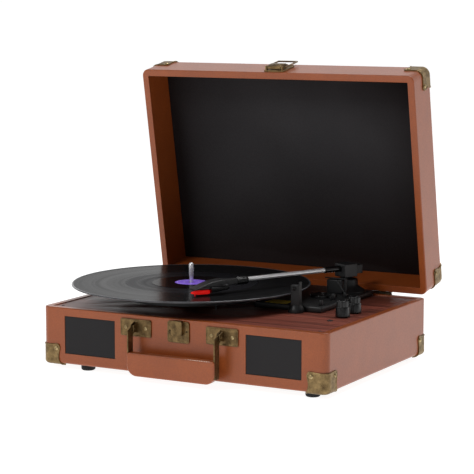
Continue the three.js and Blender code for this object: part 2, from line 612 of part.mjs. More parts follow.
// ---------------------------------------------------------------- tone arm
// Drawn with the arm along -Y from its pivot, then turned about the pivot.
function makeArm() {
  const plate = ARM_PLATE.top;
  const neckZ = plate + 16.3;
  const pedestal = [
    [0, plate - 5.5], [3.1, plate - 5.5], [3.1, plate + GAP], [24, plate + GAP], [15, plate + 4],
    [13.7, plate + 4.6], [13.7, neckZ - 1], [12.7, neckZ], [3.4, neckZ], [3.4, plate + 2.5], [0, plate + 2.5],
  ];
  add('arm_pedestal', turned(ARM.x, ARM.y, pedestal, 28), LOOK.black);

  const [low, high] = [ARM.axis - 7.4, ARM.axis + 7.6];
  const swivel = join(
    solid(post(0, 0, plate + 3, neckZ + 0.6, 2.9)),
    solid(post(0, 0, neckZ + 0.4, low + 1.6, 4.5)),
    solid(box(-5, 5, -5, 5, low + 1.2, ARM.axis + 2)),
    solid(rod(-7.2, 7.2, 0, ARM.axis, 1.4, 12)),
  );
  add('arm_swivel', surface(swivel), LOOK.black, arm);

  const collarEnd = -33;
  const block = cut(
    join(
      solid(raised(roundedRectangle(21, 24, 1.5), low, high, 1, 1)),
      solid(raised(roundedRectangle(13, 12, 1.5), low + 2, high - 2.5, 1, 1).translate(0, 15, 0)),
      solid(bar(0, ARM.tubeZ - 0.5, collarEnd, -11, 4)),
    ),
    solid(box(-7.5, 7.5, -8.5, 8.5, low - 0.5, low + 11)),
  );
  add('arm_block', surface(block), LOOK.black, arm);

  const tubeStart = collarEnd - GAP;
  const slope = Math.atan2(HEAD.drop, tubeStart - HEAD.start);
  const tube = bar(0, 0, HEAD.start - tubeStart, 0, ARM.tube, 14);
  tube.rotateX(slope).translate(0, tubeStart, ARM.tubeZ);
  add('arm_tube', tube, LOOK.chrome, arm);

  const tip = -ARM.reach;
  const neck = HEAD.start - GAP;
  const z = (above) => DISC.top + above;
  const shellSide = polygon([
    [neck, z(17.6)], [neck, z(9.6)], [neck - 11, z(8.2)], [tip + 25, z(6.6)], [tip - 6, z(6.6)],
    [tip - 6.6, z(10)], [tip + 19, z(13.2)], [neck - 18, z(17)],
  ]);
  const waist = polygon([
    [-8.2, tip - 8], [8.2, tip - 8], [8.2, tip + 19], [4.6, neck - 12], [4.6, neck + 1],
    [-4.6, neck + 1], [-4.6, neck - 12], [-8.2, tip + 19],
  ]);
  const shell = solid(sideways(shellSide, -9, 9)).intersect(solid(raised(waist, z(0), z(20))));
  add('headshell', surface(shell), LOOK.black, arm);

  const holder = join(
    solid(facing(roundedRectangle(8, 4.4, 0.8), tip - 4, tip + 19.5, 0, 1).translate(0, 0, z(4))),
    solid(post(0, tip, z(0.4), z(2.4), 0.4, 0.9, 10)),
  );
  add('stylus_holder', surface(holder), LOOK.red, arm);
}

// ---------------------------------------------------------------- rear sockets
/** Panel in the rear recess, with two line-out collars and a power inlet. */
function makeRearSockets() {
  const inner = back - CASE.wall - BASE.ledge;
  const { half, bottom, top, z, collar, pinHole, powerX, power } = SOCKETS;
  const parts = [solid(box(-half + GAP, half - GAP, inner + GAP, inner + 3, bottom + GAP, top - GAP))];
  const bores = [solid(bar(powerX, z, inner - 8, inner + 9, power, 16))];
  parts.push(solid(bar(powerX, z, inner - 9, inner + 4, power + 1.5, 16)));
  for (const x of SOCKET_X) {
    parts.push(solid(bar(x, z, inner - 6, inner + 7, collar, 16)));
    bores.push(solid(bar(x, z, inner - 3, inner + 8, pinHole, 12)));
  }
  add('rear_sockets', surface(cut(join(...parts), ...bores)), LOOK.black);
}

makeBase();
makeDeck();
makeFeet();
makeCorners('base_corner', BASE.bottom, BASE.top, 1, player);
makeLid();
makeCorners('lid_corner', LID.rim, lidTop, -1, lid);
makeHinges();
makeCatch();
makeLatch();
makeHandle();
makeTurntable();
makeArmPlate();
makeKnobs();
makeArmRest();
makeCueing();
makeArm();
makeRearSockets();

// The arm stands on its pivot with the stylus over the grooves.
arm.rotation.z = -rad(ARM.yaw);
arm.position.set(ARM.x, ARM.y, 0);

// The lid turns about the hinge line.
const turn = new THREE.Matrix4().makeTranslation(0, HINGE.y, HINGE.z)
  .multiply(new THREE.Matrix4().makeRotationX(-rad(LID.openAngle)))
  .multiply(new THREE.Matrix4().makeTranslation(0, -HINGE.y, -HINGE.z));
lid.applyMatrix4(turn);

// The origin is the middle of the bottom of the whole object.
const extent = new THREE.Box3().setFromObject(player, true);
player.position.set(-(extent.min.x + extent.max.x) / 2, -(extent.min.y + extent.max.y) / 2, -extent.min.z);

export default player;
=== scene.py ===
"""Suitcase record player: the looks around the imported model. Metres, +X right, +Y back, +Z up."""
import json
import math

import bmesh
import bpy
from mathutils import Matrix, Vector


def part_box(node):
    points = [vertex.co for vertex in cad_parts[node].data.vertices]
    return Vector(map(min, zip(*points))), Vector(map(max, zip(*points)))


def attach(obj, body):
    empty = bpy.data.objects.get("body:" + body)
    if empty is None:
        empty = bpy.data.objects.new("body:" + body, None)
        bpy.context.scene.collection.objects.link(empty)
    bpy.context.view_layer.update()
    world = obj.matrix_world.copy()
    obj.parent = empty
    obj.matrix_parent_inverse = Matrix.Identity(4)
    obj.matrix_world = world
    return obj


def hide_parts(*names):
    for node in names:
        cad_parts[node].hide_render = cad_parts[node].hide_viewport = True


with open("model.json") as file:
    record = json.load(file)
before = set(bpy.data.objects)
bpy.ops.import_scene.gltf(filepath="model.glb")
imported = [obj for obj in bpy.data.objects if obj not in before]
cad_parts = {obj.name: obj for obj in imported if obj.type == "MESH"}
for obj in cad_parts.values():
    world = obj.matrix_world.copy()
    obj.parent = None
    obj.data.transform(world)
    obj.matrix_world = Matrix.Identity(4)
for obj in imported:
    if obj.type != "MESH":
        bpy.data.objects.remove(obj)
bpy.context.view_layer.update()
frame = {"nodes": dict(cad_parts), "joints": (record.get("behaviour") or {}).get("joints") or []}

MM = 0.001
GAP = 0.3 * MM
scene = bpy.context.scene

# ------------------------------------------------------------------ driving sizes
CORNER_RADIUS = 9 * MM                  # vertical edges of the case
EDGE = 3.5 * MM                         # rounding of its top and bottom edges
RIM_EDGE = 1.3 * MM                     # rounding of the rims that meet when it is shut
WALL = 9 * MM
LEDGE = 3 * MM                          # step under the deck
LID_OPEN = math.radians(79.5)
BRACE = {"leg": 25.8 * MM, "height": 26.3 * MM, "lip": 1.9 * MM, "skin": 0.95 * MM, "dip": 2.2 * MM,
         "flare": 4.2 * MM}
PLATE = {"thickness": 1.6 * MM, "rim": 1.3 * MM, "field": 0.5 * MM}
BRACKET = {"width": 43 * MM, "height": 21 * MM, "screw": 14 * MM, "pin": 1.6 * MM}
STRAP = {"thickness": 1.6 * MM, "front": 1.9 * MM, "back": 12.8 * MM, "foot": 5.8 * MM, "head": 4.2 * MM}
GRIP = {"corner": 13 * MM, "edge": 2.3 * MM, "pitch": 3.1 * MM, "stitch": 2.3 * MM}
SCREW = 2.3 * MM
RECORD = {"label": 50 * MM, "centre": 20.7 * MM, "dead_wax": 58 * MM, "bead": 2.2 * MM, "inner_band": 84 * MM}
ARM = {"tube": 2.8 * MM, "sleeve": 37 * MM, "near": 114 * MM, "head": 158.4 * MM, "far": 113.9 * MM,
       "block": 17 * MM, "hollow": 13 * MM}
CAMERA = {"right": 1.0985, "front": 1.9825, "height": 0.46415, "turn": 28.99, "down": 7.66, "lens": 139.13}
SKY = {"back": 1.06, "front": 0.4, "back_from": 0.35, "front_to": -0.5, "overhead": 0.3, "band": 0.32,
       "overhead_from": 0.62, "side": 0.1, "side_from": 0.5, "side_to": 0.85}
FLOOR_GLOW = 0.92
LAMPS = (                               # name, place, width and power
    ("key", (-1.2, -2.6, 2.3), 1.1, 33),
    ("side", (2.9, 0.9, 1.5), 1.4, 2),
    ("top", (0.5, 0.9, 2.8), 1.4, 40))

base_low, base_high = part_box("base_shell")
middle = Vector(((base_low.x + base_high.x) / 2, (base_low.y + base_high.y) / 2, 0))
width, depth = base_high.x - base_low.x, base_high.y - base_low.y
joints = {joint["name"]: joint for joint in frame["joints"]}

# Turns that carry a shape drawn about the closed lid, the straight arm or the front face into place.
hinge = Matrix.Translation(joints["lid_hinge"]["pos_m"])
LID_TURN = hinge @ Matrix.Rotation(-LID_OPEN, 4, "X") @ hinge.inverted()
arm_pivot = Vector(joints["arm_lift"]["pos_m"])
lift_axis = joints["arm_lift"]["axis"]
ARM_TURN = Matrix.Translation((arm_pivot.x, arm_pivot.y, 0)) @ Matrix.Rotation(
    -math.atan2(lift_axis[1], -lift_axis[0]), 4, "Z")


def spot_of(node):
    """Middle of a CAD node seen from above, its radius there, and its lowest and highest corner."""
    low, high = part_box(node)
    return ((low.x + high.x) / 2, (low.y + high.y) / 2), (high.x - low.x) / 2, low, high


def box_in(node, turn):
    """Lowest and highest corner of a CAD node in the frame of a turn."""
    back = turn.inverted()
    points = [back @ vertex.co for vertex in frame["nodes"][node].data.vertices]
    return Vector(map(min, *points)), Vector(map(max, *points))


def on_front(x, z, turn=Matrix(), rise=0.0):
    """Place on the case's front face, with x to the right, y up and z outward."""
    face = base_low.y - GAP - rise
    return turn @ Matrix.Translation((x, face, z)) @ Matrix.Rotation(math.pi / 2, 4, "X")


# ------------------------------------------------------------------ materials
def srgb(red, green, blue):
    """Linear colour from display values of 0 to 255."""
    linear = [((c / 255 + 0.055) / 1.055) ** 2.4 if c > 10 else c / 255 / 12.92 for c in (red, green, blue)]
    return (*linear, 1.0)


class Look:
    """A node material: textures in object space that feed one Principled shader."""

    def __init__(self, name, **sockets):
        self.material = bpy.data.materials.new(name)
        self.material.use_nodes = True
        self.tree = self.material.node_tree
        self.shader = self.tree.nodes["Principled BSDF"]
        self.where = self.add("ShaderNodeTexCoord").outputs["Object"]
        for socket, value in sockets.items():
            self.feed(self.shader.inputs[socket.replace("_", " ")], value)

    def feed(self, socket, value):
        if isinstance(value, bpy.types.NodeSocket):
            self.tree.links.new(value, socket)
        else:
            socket.default_value = value

    def add(self, kind, inputs=None, **settings):
        made = self.tree.nodes.new(kind)
        for key, value in settings.items():
            setattr(made, key, value)
        for key, value in (inputs or {}).items():
            self.feed(made.inputs[key], value)
        return made

    def stretched(self, x, y, z):
        node = self.add("ShaderNodeMapping", {"Vector": self.where, "Scale": (x, y, z)})
        return node.outputs["Vector"]

    def noise(self, scale, detail=3.0, rough=0.5, where=None):
        inputs = {"Vector": where or self.where, "Scale": scale, "Detail": detail, "Roughness": rough}
        return self.add("ShaderNodeTexNoise", inputs).outputs["Fac"]

    def cells(self, scale, feature="F1", where=None):
        node = self.add("ShaderNodeTexVoronoi", feature=feature)
        self.feed(node.inputs["Vector"], where or self.where)
        self.feed(node.inputs["Scale"], scale)
        return node.outputs["Distance"]

    def spread(self, value, low, high, to_low=0.0, to_high=1.0):
        inputs = {0: value, 1: low, 2: high, 3: to_low, 4: to_high}
        return self.add("ShaderNodeMapRange", inputs, clamp=True).outputs[0]

    def maths(self, operation, first, second=0.0):
        return self.add("ShaderNodeMath", {0: first, 1: second}, operation=operation).outputs[0]

    def mixed(self, share, first, second):
        node = self.add("ShaderNodeMix", {0: share}, data_type="RGBA")
        self.feed(node.inputs[6], first)
        self.feed(node.inputs[7], second)
        return node.outputs[2]

    def bump(self, height, strength, distance):
        inputs = {"Strength": strength, "Distance": distance, "Height": height}
        self.feed(self.shader.inputs["Normal"], self.add("ShaderNodeBump", inputs).outputs["Normal"])

    def color(self, value):
        self.feed(self.shader.inputs["Base Color"], value)

    def rough(self, value):
        self.feed(self.shader.inputs["Roughness"], value)


def leatherette(name="leatherette", light=(174, 88, 36), dark=(144, 70, 27)):
    """Grained vinyl: shallow pebbles with creases darkened as painted shade, a little uneven in colour."""
    look = Look(name, IOR=1.2, Coat_Weight=0.8, Coat_Roughness=0.3)
    pebbles = look.cells(760)
    wrinkles = look.noise(420, 4, 0.6)
    height = look.maths("ADD", look.maths("MULTIPLY", pebbles, 0.7), look.maths("MULTIPLY", wrinkles, 0.9))
    cloudy = look.spread(look.noise(30, 3, 0.55), 0.0, 1.0)
    skin = look.mixed(cloudy, srgb(*dark), srgb(*light))
    # Darker creases between the pebbles: painted shade on top of the bump.
    crease_shade = look.spread(height, 0.45, 1.05, 0.0, 0.34)
    look.color(look.mixed(crease_shade, skin, srgb(106, 47, 22)))
    look.rough(look.spread(wrinkles, 0.3, 0.7, 0.4, 0.56))
    look.bump(height, 0.32, 0.22 * MM)
    return look.material


def brass(name="antique_brass", light=(164, 138, 94), dark=(84, 66, 43), roughness=0.34):
    """Antiqued plating: olive gold, mottled and darker where it has tarnished."""
    look = Look(name, Metallic=0.88)
    blotches = look.noise(130, 6, 0.66)
    fine = look.noise(900, 3, 0.6)
    tarnish = look.spread(look.maths("ADD", blotches, look.maths("MULTIPLY", fine, 0.35)), 0.42, 0.95)
    look.color(look.mixed(tarnish, srgb(*dark), srgb(*light)))
    look.rough(look.spread(tarnish, 0, 1, roughness + 0.2, roughness))
    look.bump(look.maths("ADD", blotches, fine), 0.3, 0.16 * MM)
    return look.material


def mahogany():
    """Dark red wood grain along X under a clear glossy film."""
    look = Look("deck_wood", Coat_Weight=0.22, Coat_Roughness=0.4, Coat_IOR=1.45, Specular_IOR_Level=0.2)
    grain = look.noise(1, 5, 0.62, look.stretched(9, 210, 60))
    pores = look.noise(1, 3, 0.6, look.stretched(30, 1500, 400))
    broad = look.noise(1, 2, 0.5, look.stretched(4, 42, 10))
    streaks = look.maths("ADD", look.maths("MULTIPLY", grain, 0.7), look.maths("MULTIPLY", broad, 0.5))
    lines = look.spread(streaks, 0.42, 0.8)
    wood = look.mixed(lines, srgb(62, 27, 21), srgb(152, 82, 66))
    look.color(look.mixed(look.spread(pores, 0.56, 0.72, 0, 0.5), wood, srgb(24, 10, 9)))
    look.rough(look.spread(grain, 0.3, 0.7, 0.34, 0.48))
    look.bump(pores, 0.08, 0.05 * MM)
    return look.material


def plastic(name, tint, roughness, grain=0.12, scale=1500, painted_glow=0.0):
    """Moulded plastic with a fine spark-eroded texture. A glow above zero makes it shine by itself: painted
    light.
    """
    look = Look(name, IOR=1.46, Emission_Strength=painted_glow)
    look.shader.inputs["Emission Color"].default_value = srgb(*tint)
    texture = look.noise(scale, 3, 0.6)
    uneven = look.noise(60, 3, 0.5)
    low, high = [tuple(min(255, c * share) for c in tint) for share in (0.84, 1.12)]
    look.color(look.mixed(look.spread(uneven, 0.3, 0.7), srgb(*low), srgb(*high)))
    look.rough(look.spread(texture, 0.3, 0.7, roughness - 0.05, roughness + 0.07))
    look.bump(texture, grain, 0.06 * MM)
    return look.material


def woven(name, thread, gaps, pitch):
    """Plain weave of fine threads, for speaker cloth."""
    look = Look(name, Roughness=0.92, IOR=1.3, Sheen_Weight=0.08, Sheen_Roughness=0.5)
    split = look.add("ShaderNodeSeparateXYZ", {0: look.where})
    turns = 2 * math.pi / pitch
    across = look.maths("SINE", look.maths("MULTIPLY", split.outputs["X"], turns))
    upward = look.maths("SINE", look.maths("MULTIPLY", split.outputs["Z"], turns))
    weave = look.spread(look.maths("MULTIPLY", across, upward), -1, 1)
    fuzz = look.noise(1400, 2, 0.6)
    look.color(look.mixed(look.maths("MULTIPLY", weave, look.spread(fuzz, 0.2, 0.8, 0.6, 1)),
                          srgb(*gaps), srgb(*thread)))
    look.bump(weave, 0.5, 0.12 * MM)
    return look.material


def metal(name, tint, roughness, brushed=None, share=1.0):
    """Bright metal with faint brush marks."""
    look = Look(name, Metallic=share)
    marks = look.noise(1, 3, 0.6, look.stretched(*(brushed or (900, 900, 900))))
    dull, bright = [tuple(min(255, c * share) for c in tint) for share in (0.94, 1.04)]
    look.color(look.mixed(marks, srgb(*dull), srgb(*bright)))
    look.rough(look.spread(marks, 0.3, 0.7, roughness, roughness + 0.06))
    look.bump(marks, 0.04, 0.02 * MM)
    return look.material


def vinyl(centre):
    """Pressed record: fine rings of groove, banded into tracks."""
    look = Look("vinyl", IOR=1.07, Anisotropic=0.4)
    split = look.add("ShaderNodeSeparateXYZ", {0: look.where})
    dx = look.maths("SUBTRACT", split.outputs["X"], centre.x)
    dy = look.maths("SUBTRACT", split.outputs["Y"], centre.y)
    squares = look.maths("ADD", look.maths("MULTIPLY", dx, dx), look.maths("MULTIPLY", dy, dy))
    radius = look.maths("SQRT", squares)
    ring = look.add("ShaderNodeCombineXYZ", {0: radius})
    grooves = look.noise(2600, 2, 0.6, ring.outputs[0])
    tracks = look.noise(95, 2, 0.7, ring.outputs[0])
    # The inner band of grooves is a lighter grey: painted sheen of the grooves there.
    inner = look.spread(radius, RECORD["inner_band"], RECORD["inner_band"] - MM)
    music = look.mixed(look.spread(tracks, 0.35, 0.65), srgb(24, 24, 25), srgb(32, 32, 33))
    look.color(look.mixed(inner, music, srgb(34, 34, 37)))
    polish = look.spread(tracks, 0.35, 0.65, 0.18, 0.26)
    look.rough(look.maths("ADD", polish, look.maths("MULTIPLY", inner, 0.08)))
    look.bump(look.maths("ADD", grooves, look.maths("MULTIPLY", tracks, 0.6)), 0.1, 0.05 * MM)
    tangent = look.add("ShaderNodeTangent", direction_type="RADIAL", axis="Z")
    look.feed(look.shader.inputs["Tangent"], tangent.outputs[0])
    return look.material


def paper(name, tint, speckle, roughness=0.7, ior=1.4):
    """Printed paper with faint fibres."""
    look = Look(name, Roughness=roughness, IOR=ior)
    fibres = look.noise(700, 4, 0.7)
    look.color(look.mixed(look.spread(fibres, 0.35, 0.7), srgb(*tint), srgb(*speckle)))
    look.bump(fibres, 0.1, 0.05 * MM)
    return look.material


def lining():
    """Black lining paper with a faint pebbled emboss."""
    look = Look("lid_lining", IOR=1.35)
    pebbles = look.cells(520)
    soft = look.noise(9, 2, 0.5)
    look.color(look.mixed(look.spread(soft, 0.3, 0.7), srgb(36, 34, 36), srgb(45, 43, 45)))
    look.rough(look.spread(pebbles, 0.1, 0.7, 0.62, 0.74))
    look.bump(pebbles, 0.22, 0.1 * MM)
    return look.material


def thread_with_painted_highlight(x_start, x_end):
    """Edge thread of the grip, leather brown on the left and pale towards the right, where the pale part is a
    painted highlight.
    """
    look = Look("grip_thread", Roughness=0.7)
    split = look.add("ShaderNodeSeparateXYZ", {0: look.where})
    # Paler towards the right: painted highlight along the grip's top edge.
    pale = look.spread(split.outputs["X"], x_start, x_end)
    patchy = look.spread(look.noise(500, 3, 0.6), 0.3, 0.6)
    look.color(look.mixed(look.maths("MULTIPLY", pale, patchy), srgb(138, 82, 56), srgb(226, 206, 188)))
    look.bump(patchy, 0.3, 0.1 * MM)
    return look.material


# ------------------------------------------------------------------ geometry helpers
def rounded(across, up, radius, steps=7):
    """Points of a rounded rectangle about the origin, anticlockwise."""
    points = []
    for corner, (side_x, side_y) in enumerate(((1, -1), (1, 1), (-1, 1), (-1, -1))):
        for step in range(steps + 1):
            angle = (corner - 1 + step / steps) * math.pi / 2
            x = side_x * (across / 2 - radius) + radius * math.cos(angle)
            y = side_y * (up / 2 - radius) + radius * math.sin(angle)
            points.append((x, y))
    return points


def loft(rings, loop=False):
    """Points and faces of a skin through rings of equally many points, closed at both ends."""
    size = len(rings[0])
    points = [Vector(point) for ring in rings for point in ring]
    faces = []
    for start in range(len(rings) if loop else len(rings) - 1):
        after = (start + 1) % len(rings)
        for i in range(size):
            j = (i + 1) % size
            faces.append((start * size + i, start * size + j, after * size + j, after * size + i))
    if not loop:
        faces.append(tuple(reversed(range(size))))
        faces.append(tuple(range((len(rings) - 1) * size, len(rings) * size)))
    return points, faces


def in_mm(pairs, base=0.0):
    """Profile of (radius, height) pairs from millimetres, with heights above a base."""
    return [(radius * MM, base + height * MM) for radius, height in pairs]


def sections_along(sections, corner, steps=4, share=0.5):
    """Closed body of rounded sections along -Y: distance, half width, bottom and top of each, in mm."""
    rings = []
    for reach, half, bottom, roof in sections:
        across, up = 2 * half * MM, (roof - bottom) * MM
        rings.append([(x, -reach * MM, (roof + bottom) / 2 * MM + z)
                      for x, z in rounded(across, up, min(corner, up * share), steps)])
    return loft(rings)


def turned(profile, sides=64, centre=(0, 0), ripple=None):
    """Closed turned shape about Z from (radius, z) pairs; ripple(angle, radius, z) may change the radius."""
    rings = []
    for radius, z in profile:
        ring = []
        for side in range(sides):
            angle = 2 * math.pi * side / sides
            r = ripple(angle, radius, z) if ripple else radius
            ring.append((centre[0] + r * math.cos(angle), centre[1] + r * math.sin(angle), z))
        rings.append(ring)
    return loft(rings, loop=True)


def block(low, high, edge, steps=3):
    """Box with all its edges rounded."""
    across, up = high[0] - low[0], high[1] - low[1]
    centre = Vector(((low[0] + high[0]) / 2, (low[1] + high[1]) / 2, 0))
    angles = [step * math.pi / 2 / steps for step in range(steps + 1)]
    levels = [(edge * (1 - math.sin(a)), low[2] + edge * (1 - math.cos(a))) for a in angles]
    levels += [(edge * (1 - math.cos(a)), high[2] - edge * (1 - math.sin(a))) for a in angles]
    return loft([[centre + Vector((x, y, z)) for x, y in rounded(
        across - 2 * inset, up - 2 * inset, max(edge - inset, 0.05 * MM), steps)] for inset, z in levels])


def rod(start, end, radius, sides=28, edge=None):
    """Round bar between two points, with eased ends."""
    start, end = Vector(start), Vector(end)
    along = end - start
    ease = min(edge or radius * 0.2, along.length / 3)
    profile = [(0, 0), (radius - ease, 0), (radius, ease), (radius, along.length - ease),
               (radius - ease, along.length), (0, along.length)]
    points, faces = turned(profile, sides)
    turn = Matrix.Translation(start) @ along.to_track_quat("Z", "Y").to_matrix().to_4x4()
    return moved((points, faces), turn)


def slab(outline, start, end):
    """Flat sheet between two values of x, from an outline of (y, z) pairs."""
    edge = 0.25 * MM
    middle_y = sum(y for y, _ in outline) / len(outline)
    middle_z = sum(z for _, z in outline) / len(outline)
    rings = []
    for x, inset in ((start, edge), (start + edge, 0), (end - edge, 0), (end, edge)):
        ring = []
        for y, z in outline:
            toward = Vector((0, middle_y - y, middle_z - z)).normalized() * inset
            ring.append(Vector((x, y, z)) + toward)
        rings.append(ring)
    return loft(rings)


def moved(shape, turn):
    return [turn @ point for point in shape[0]], shape[1]


def joined(*shapes):
    points, faces = [], []
    for more_points, more_faces in shapes:
        start = len(points)
        points += more_points
        faces += [tuple(start + i for i in face) for face in more_faces]
    return points, faces


def embossed(across, up, radius, thickness=PLATE["thickness"], rim=PLATE["rim"], field=PLATE["field"]):
    """Pressed plate lying in x and y, with a raised rim round a lower field."""
    levels = [(0, 0), (0, thickness - 0.4 * MM), (0.12 * MM, thickness - 0.12 * MM), (0.4 * MM, thickness),
              (rim, thickness), (rim + 0.35 * MM, thickness - field * 0.5),
              (rim + 0.7 * MM, thickness - field)]
    rings = []
    for inset, z in levels:
        corner = max(radius - inset, 0.2 * MM)
        rings.append([(x, y, z) for x, y in rounded(across - 2 * inset, up - 2 * inset, corner)])
    return loft(rings)


def screw_head(turn, radius=SCREW, height=1.1 * MM):
    """Domed head with a cross slot, standing on the plane z = 0 of a turn."""
    sides, rings = 32, 8
    points = [[(radius * math.cos(a), radius * math.sin(a), -0.3 * MM) for a in
               [2 * math.pi * side / sides for side in range(sides)]]]
    for ring in range(rings + 1):
        share = 1 - ring / rings * 0.97
        level = []
        for side in range(sides):
            angle = 2 * math.pi * side / sides
            x, y = radius * share * math.cos(angle), radius * share * math.sin(angle)
            z = height * math.sqrt(max(0.0, 1 - (share * 0.97) ** 2))
            in_slot = share < 0.62 and min(abs(x), abs(y)) < 0.14 * radius
            level.append((x, y, z - (0.4 * height if in_slot else 0)))
        points.append(level)
    return moved(loft(points), turn)


def piece(name, shape, look, body, replaces=(), turn=None, sharp=35):
    """Makes a closed mesh from points and faces, and lets it ride on a body."""
    points, faces = moved(shape, turn) if turn else shape
    mesh = bpy.data.meshes.new(name)
    mesh.from_pydata([tuple(point) for point in points], [], faces)
    shaped = bmesh.new()
    shaped.from_mesh(mesh)
    bmesh.ops.remove_doubles(shaped, verts=shaped.verts, dist=1e-6)
    bmesh.ops.recalc_face_normals(shaped, faces=shaped.faces)
    shaped.to_mesh(mesh)
    shaped.free()
    made = bpy.data.objects.new(name, mesh)
    scene.collection.objects.link(made)
    made.data.materials.append(look)
    smooth(made, sharp)
    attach(made, body)
    if replaces:
        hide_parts(*replaces)
    return made


def smooth(made, sharp=35):
    """Smooth shading that keeps hard edges, with flat faces left flat."""
    made.data.polygons.foreach_set("use_smooth", [True] * len(made.data.polygons))
    made.data.set_sharp_from_angle(angle=math.radians(sharp))
    weighted = made.modifiers.new("weighted_normals", "WEIGHTED_NORMAL")
    weighted.keep_sharp = True


def carve(made, *tools):
    """Cuts shapes out of a piece and keeps the result as its mesh."""
    cutters = []
    for shape in tools:
        mesh = bpy.data.meshes.new("cutter")
        mesh.from_pydata([tuple(point) for point in shape[0]], [], shape[1])
        cutter = bpy.data.objects.new("cutter", mesh)
        scene.collection.objects.link(cutter)
        modifier = made.modifiers.new("cut", "BOOLEAN")
        modifier.operation = "DIFFERENCE"
        modifier.solver = "EXACT"
        modifier.object = cutter
        cutters.append(cutter)
    weighted = made.modifiers.get("weighted_normals")
    made.modifiers.remove(weighted)
    bpy.context.view_layer.update()
    result = bpy.data.meshes.new_from_object(made.evaluated_get(bpy.context.evaluated_depsgraph_get()))
    made.modifiers.clear()
    made.data = result
    for cutter in cutters:
        bpy.data.objects.remove(cutter)
    smooth(made)


# ------------------------------------------------------------------ camera, floor and light
def make_camera():
    data = bpy.data.cameras.new("camera")
    data.lens = CAMERA["lens"]
    data.sensor_width = 36
    camera = bpy.data.objects.new("camera", data)
    camera.location = middle + Vector((CAMERA["right"], -CAMERA["front"], CAMERA["height"]))
    camera.rotation_euler = (math.radians(90 - CAMERA["down"]), 0, math.radians(CAMERA["turn"]))
    scene.collection.objects.link(camera)
    scene.camera = camera


def area_light(name, place, size, power):
    """Soft square light that faces the middle of the object."""
    data = bpy.data.lights.new(name, "AREA")
    data.size = size
    data.energy = power
    light = bpy.data.objects.new(name, data)
    light.location = Vector(place)
    target = Vector((0, 0, 0.15))
    light.rotation_euler = (target - light.location).to_track_quat("-Z", "Y").to_euler()
    scene.collection.objects.link(light)


def make_world():
    """White studio: bright at eye level behind the object, dimmer overhead, in front and on the right."""
    world = bpy.data.worlds.new("studio")
    world.use_nodes = True
    tree = world.node_tree
    sky = tree.nodes["Background"]
    sky.inputs["Color"].default_value = (1, 1, 1, 1)

    def graded(value, from_value, to_value, low, high):
        grade = tree.nodes.new("ShaderNodeMapRange")
        grade.interpolation_type = "SMOOTHSTEP"
        tree.links.new(value, grade.inputs[0])
        for socket, number in zip(range(1, 5), (from_value, to_value, low, high)):
            grade.inputs[socket].default_value = number
        return grade.outputs[0]

    direction = tree.nodes.new("ShaderNodeSeparateXYZ")
    tree.links.new(tree.nodes.new("ShaderNodeTexCoord").outputs["Generated"], direction.inputs[0])
    level = graded(direction.outputs["Z"], SKY["band"], SKY["overhead_from"], 1.0, SKY["overhead"])
    around = graded(direction.outputs["Y"], SKY["front_to"], SKY["back_from"], SKY["front"], SKY["back"])
    right = graded(direction.outputs["X"], SKY["side_from"], SKY["side_to"], 1.0, SKY["side"])
    strength = level
    for share in (around, right):
        product = tree.nodes.new("ShaderNodeMath")
        product.operation = "MULTIPLY"
        tree.links.new(strength, product.inputs[0])
        tree.links.new(share, product.inputs[1])
        strength = product.outputs[0]
    tree.links.new(strength, sky.inputs["Strength"])
    scene.world = world


def make_stage():
    floor_mesh = bpy.data.meshes.new("floor")
    reach = 60
    corners = [(-reach, -reach, 0), (reach, -reach, 0), (reach, reach, 0), (-reach, reach, 0)]
    floor_mesh.from_pydata(corners, [], [(0, 1, 2, 3)])
    floor = bpy.data.objects.new("floor", floor_mesh)
    scene.collection.objects.link(floor)
    pale = Look("floor", Roughness=1.0, Specular_IOR_Level=0.0, Emission_Strength=FLOOR_GLOW)
    pale.color((0.35, 0.35, 0.35, 1))
    pale.shader.inputs["Emission Color"].default_value = (1, 1, 1, 1)
    floor_mesh.materials.append(pale.material)
    for name, place, size, power in LAMPS:
        area_light(name, place, size, power)
    scene.view_settings.view_transform = "Standard"


# ------------------------------------------------------------------ case
def case_ring(inset, z):
    """The case's outline, pulled in by inset, at height z."""
    radius = max(CORNER_RADIUS - inset, 0.8 * MM)
    outline = rounded(width - 2 * inset, depth - 2 * inset, radius, 10)
    return [middle + Vector((x, y, z)) for x, y in outline]


def lower_edge(z, edge, steps=6):
    angles = [step * math.pi / 2 / steps for step in range(steps + 1)]
    return [(edge * (1 - math.sin(a)), z + edge * (1 - math.cos(a))) for a in angles]


def upper_edge(z, edge):
    return [(inset, 2 * z - height) for inset, height in reversed(lower_edge(z, edge))]


def make_base():
    deck_low, deck_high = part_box("deck_plate")
    board_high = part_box("bottom_board")[1]
    seat, inner = deck_low.z - GAP, WALL + LEDGE
    profile = lower_edge(base_low.z, EDGE) + upper_edge(base_high.z, RIM_EDGE) + [
        (WALL - 0.9 * MM, base_high.z), (WALL - 0.25 * MM, base_high.z - 0.3 * MM),
        (WALL, base_high.z - 0.9 * MM), (WALL, seat), (inner, seat), (inner, board_high.z + GAP),
        (WALL, board_high.z + GAP), (WALL, base_low.z)]
    shell = loft([case_ring(inset, z) for inset, z in profile], loop=True)
    made = piece("base_cover", shell, LEATHER, "base", ["base_shell"])
    tools = []
    for side in ("left", "right"):
        low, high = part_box(f"speaker_grille_{side}")
        tools.append(block(low - Vector((GAP, 5 * MM, GAP)), high + Vector((GAP, GAP, GAP)), 0.2 * MM, 1))
        make_grille(side, low, high)
    low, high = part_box("rear_sockets")
    opening_low = (low.x - GAP, high.y - 30 * MM, low.z - GAP)
    opening_high = (high.x + GAP, base_high.y + MM, high.z + GAP)
    tools.append(block(opening_low, opening_high, 0.2 * MM, 1))
    carve(made, *tools)
    places = [middle + Vector((x, -124 * MM, deck_high.z)) for x in (-178 * MM, 178 * MM)]
    heads = [screw_head(Matrix.Translation(place), 2.2 * MM, 0.5 * MM) for place in places]
    piece("deck_screws", joined(*heads), BLACK, "base")


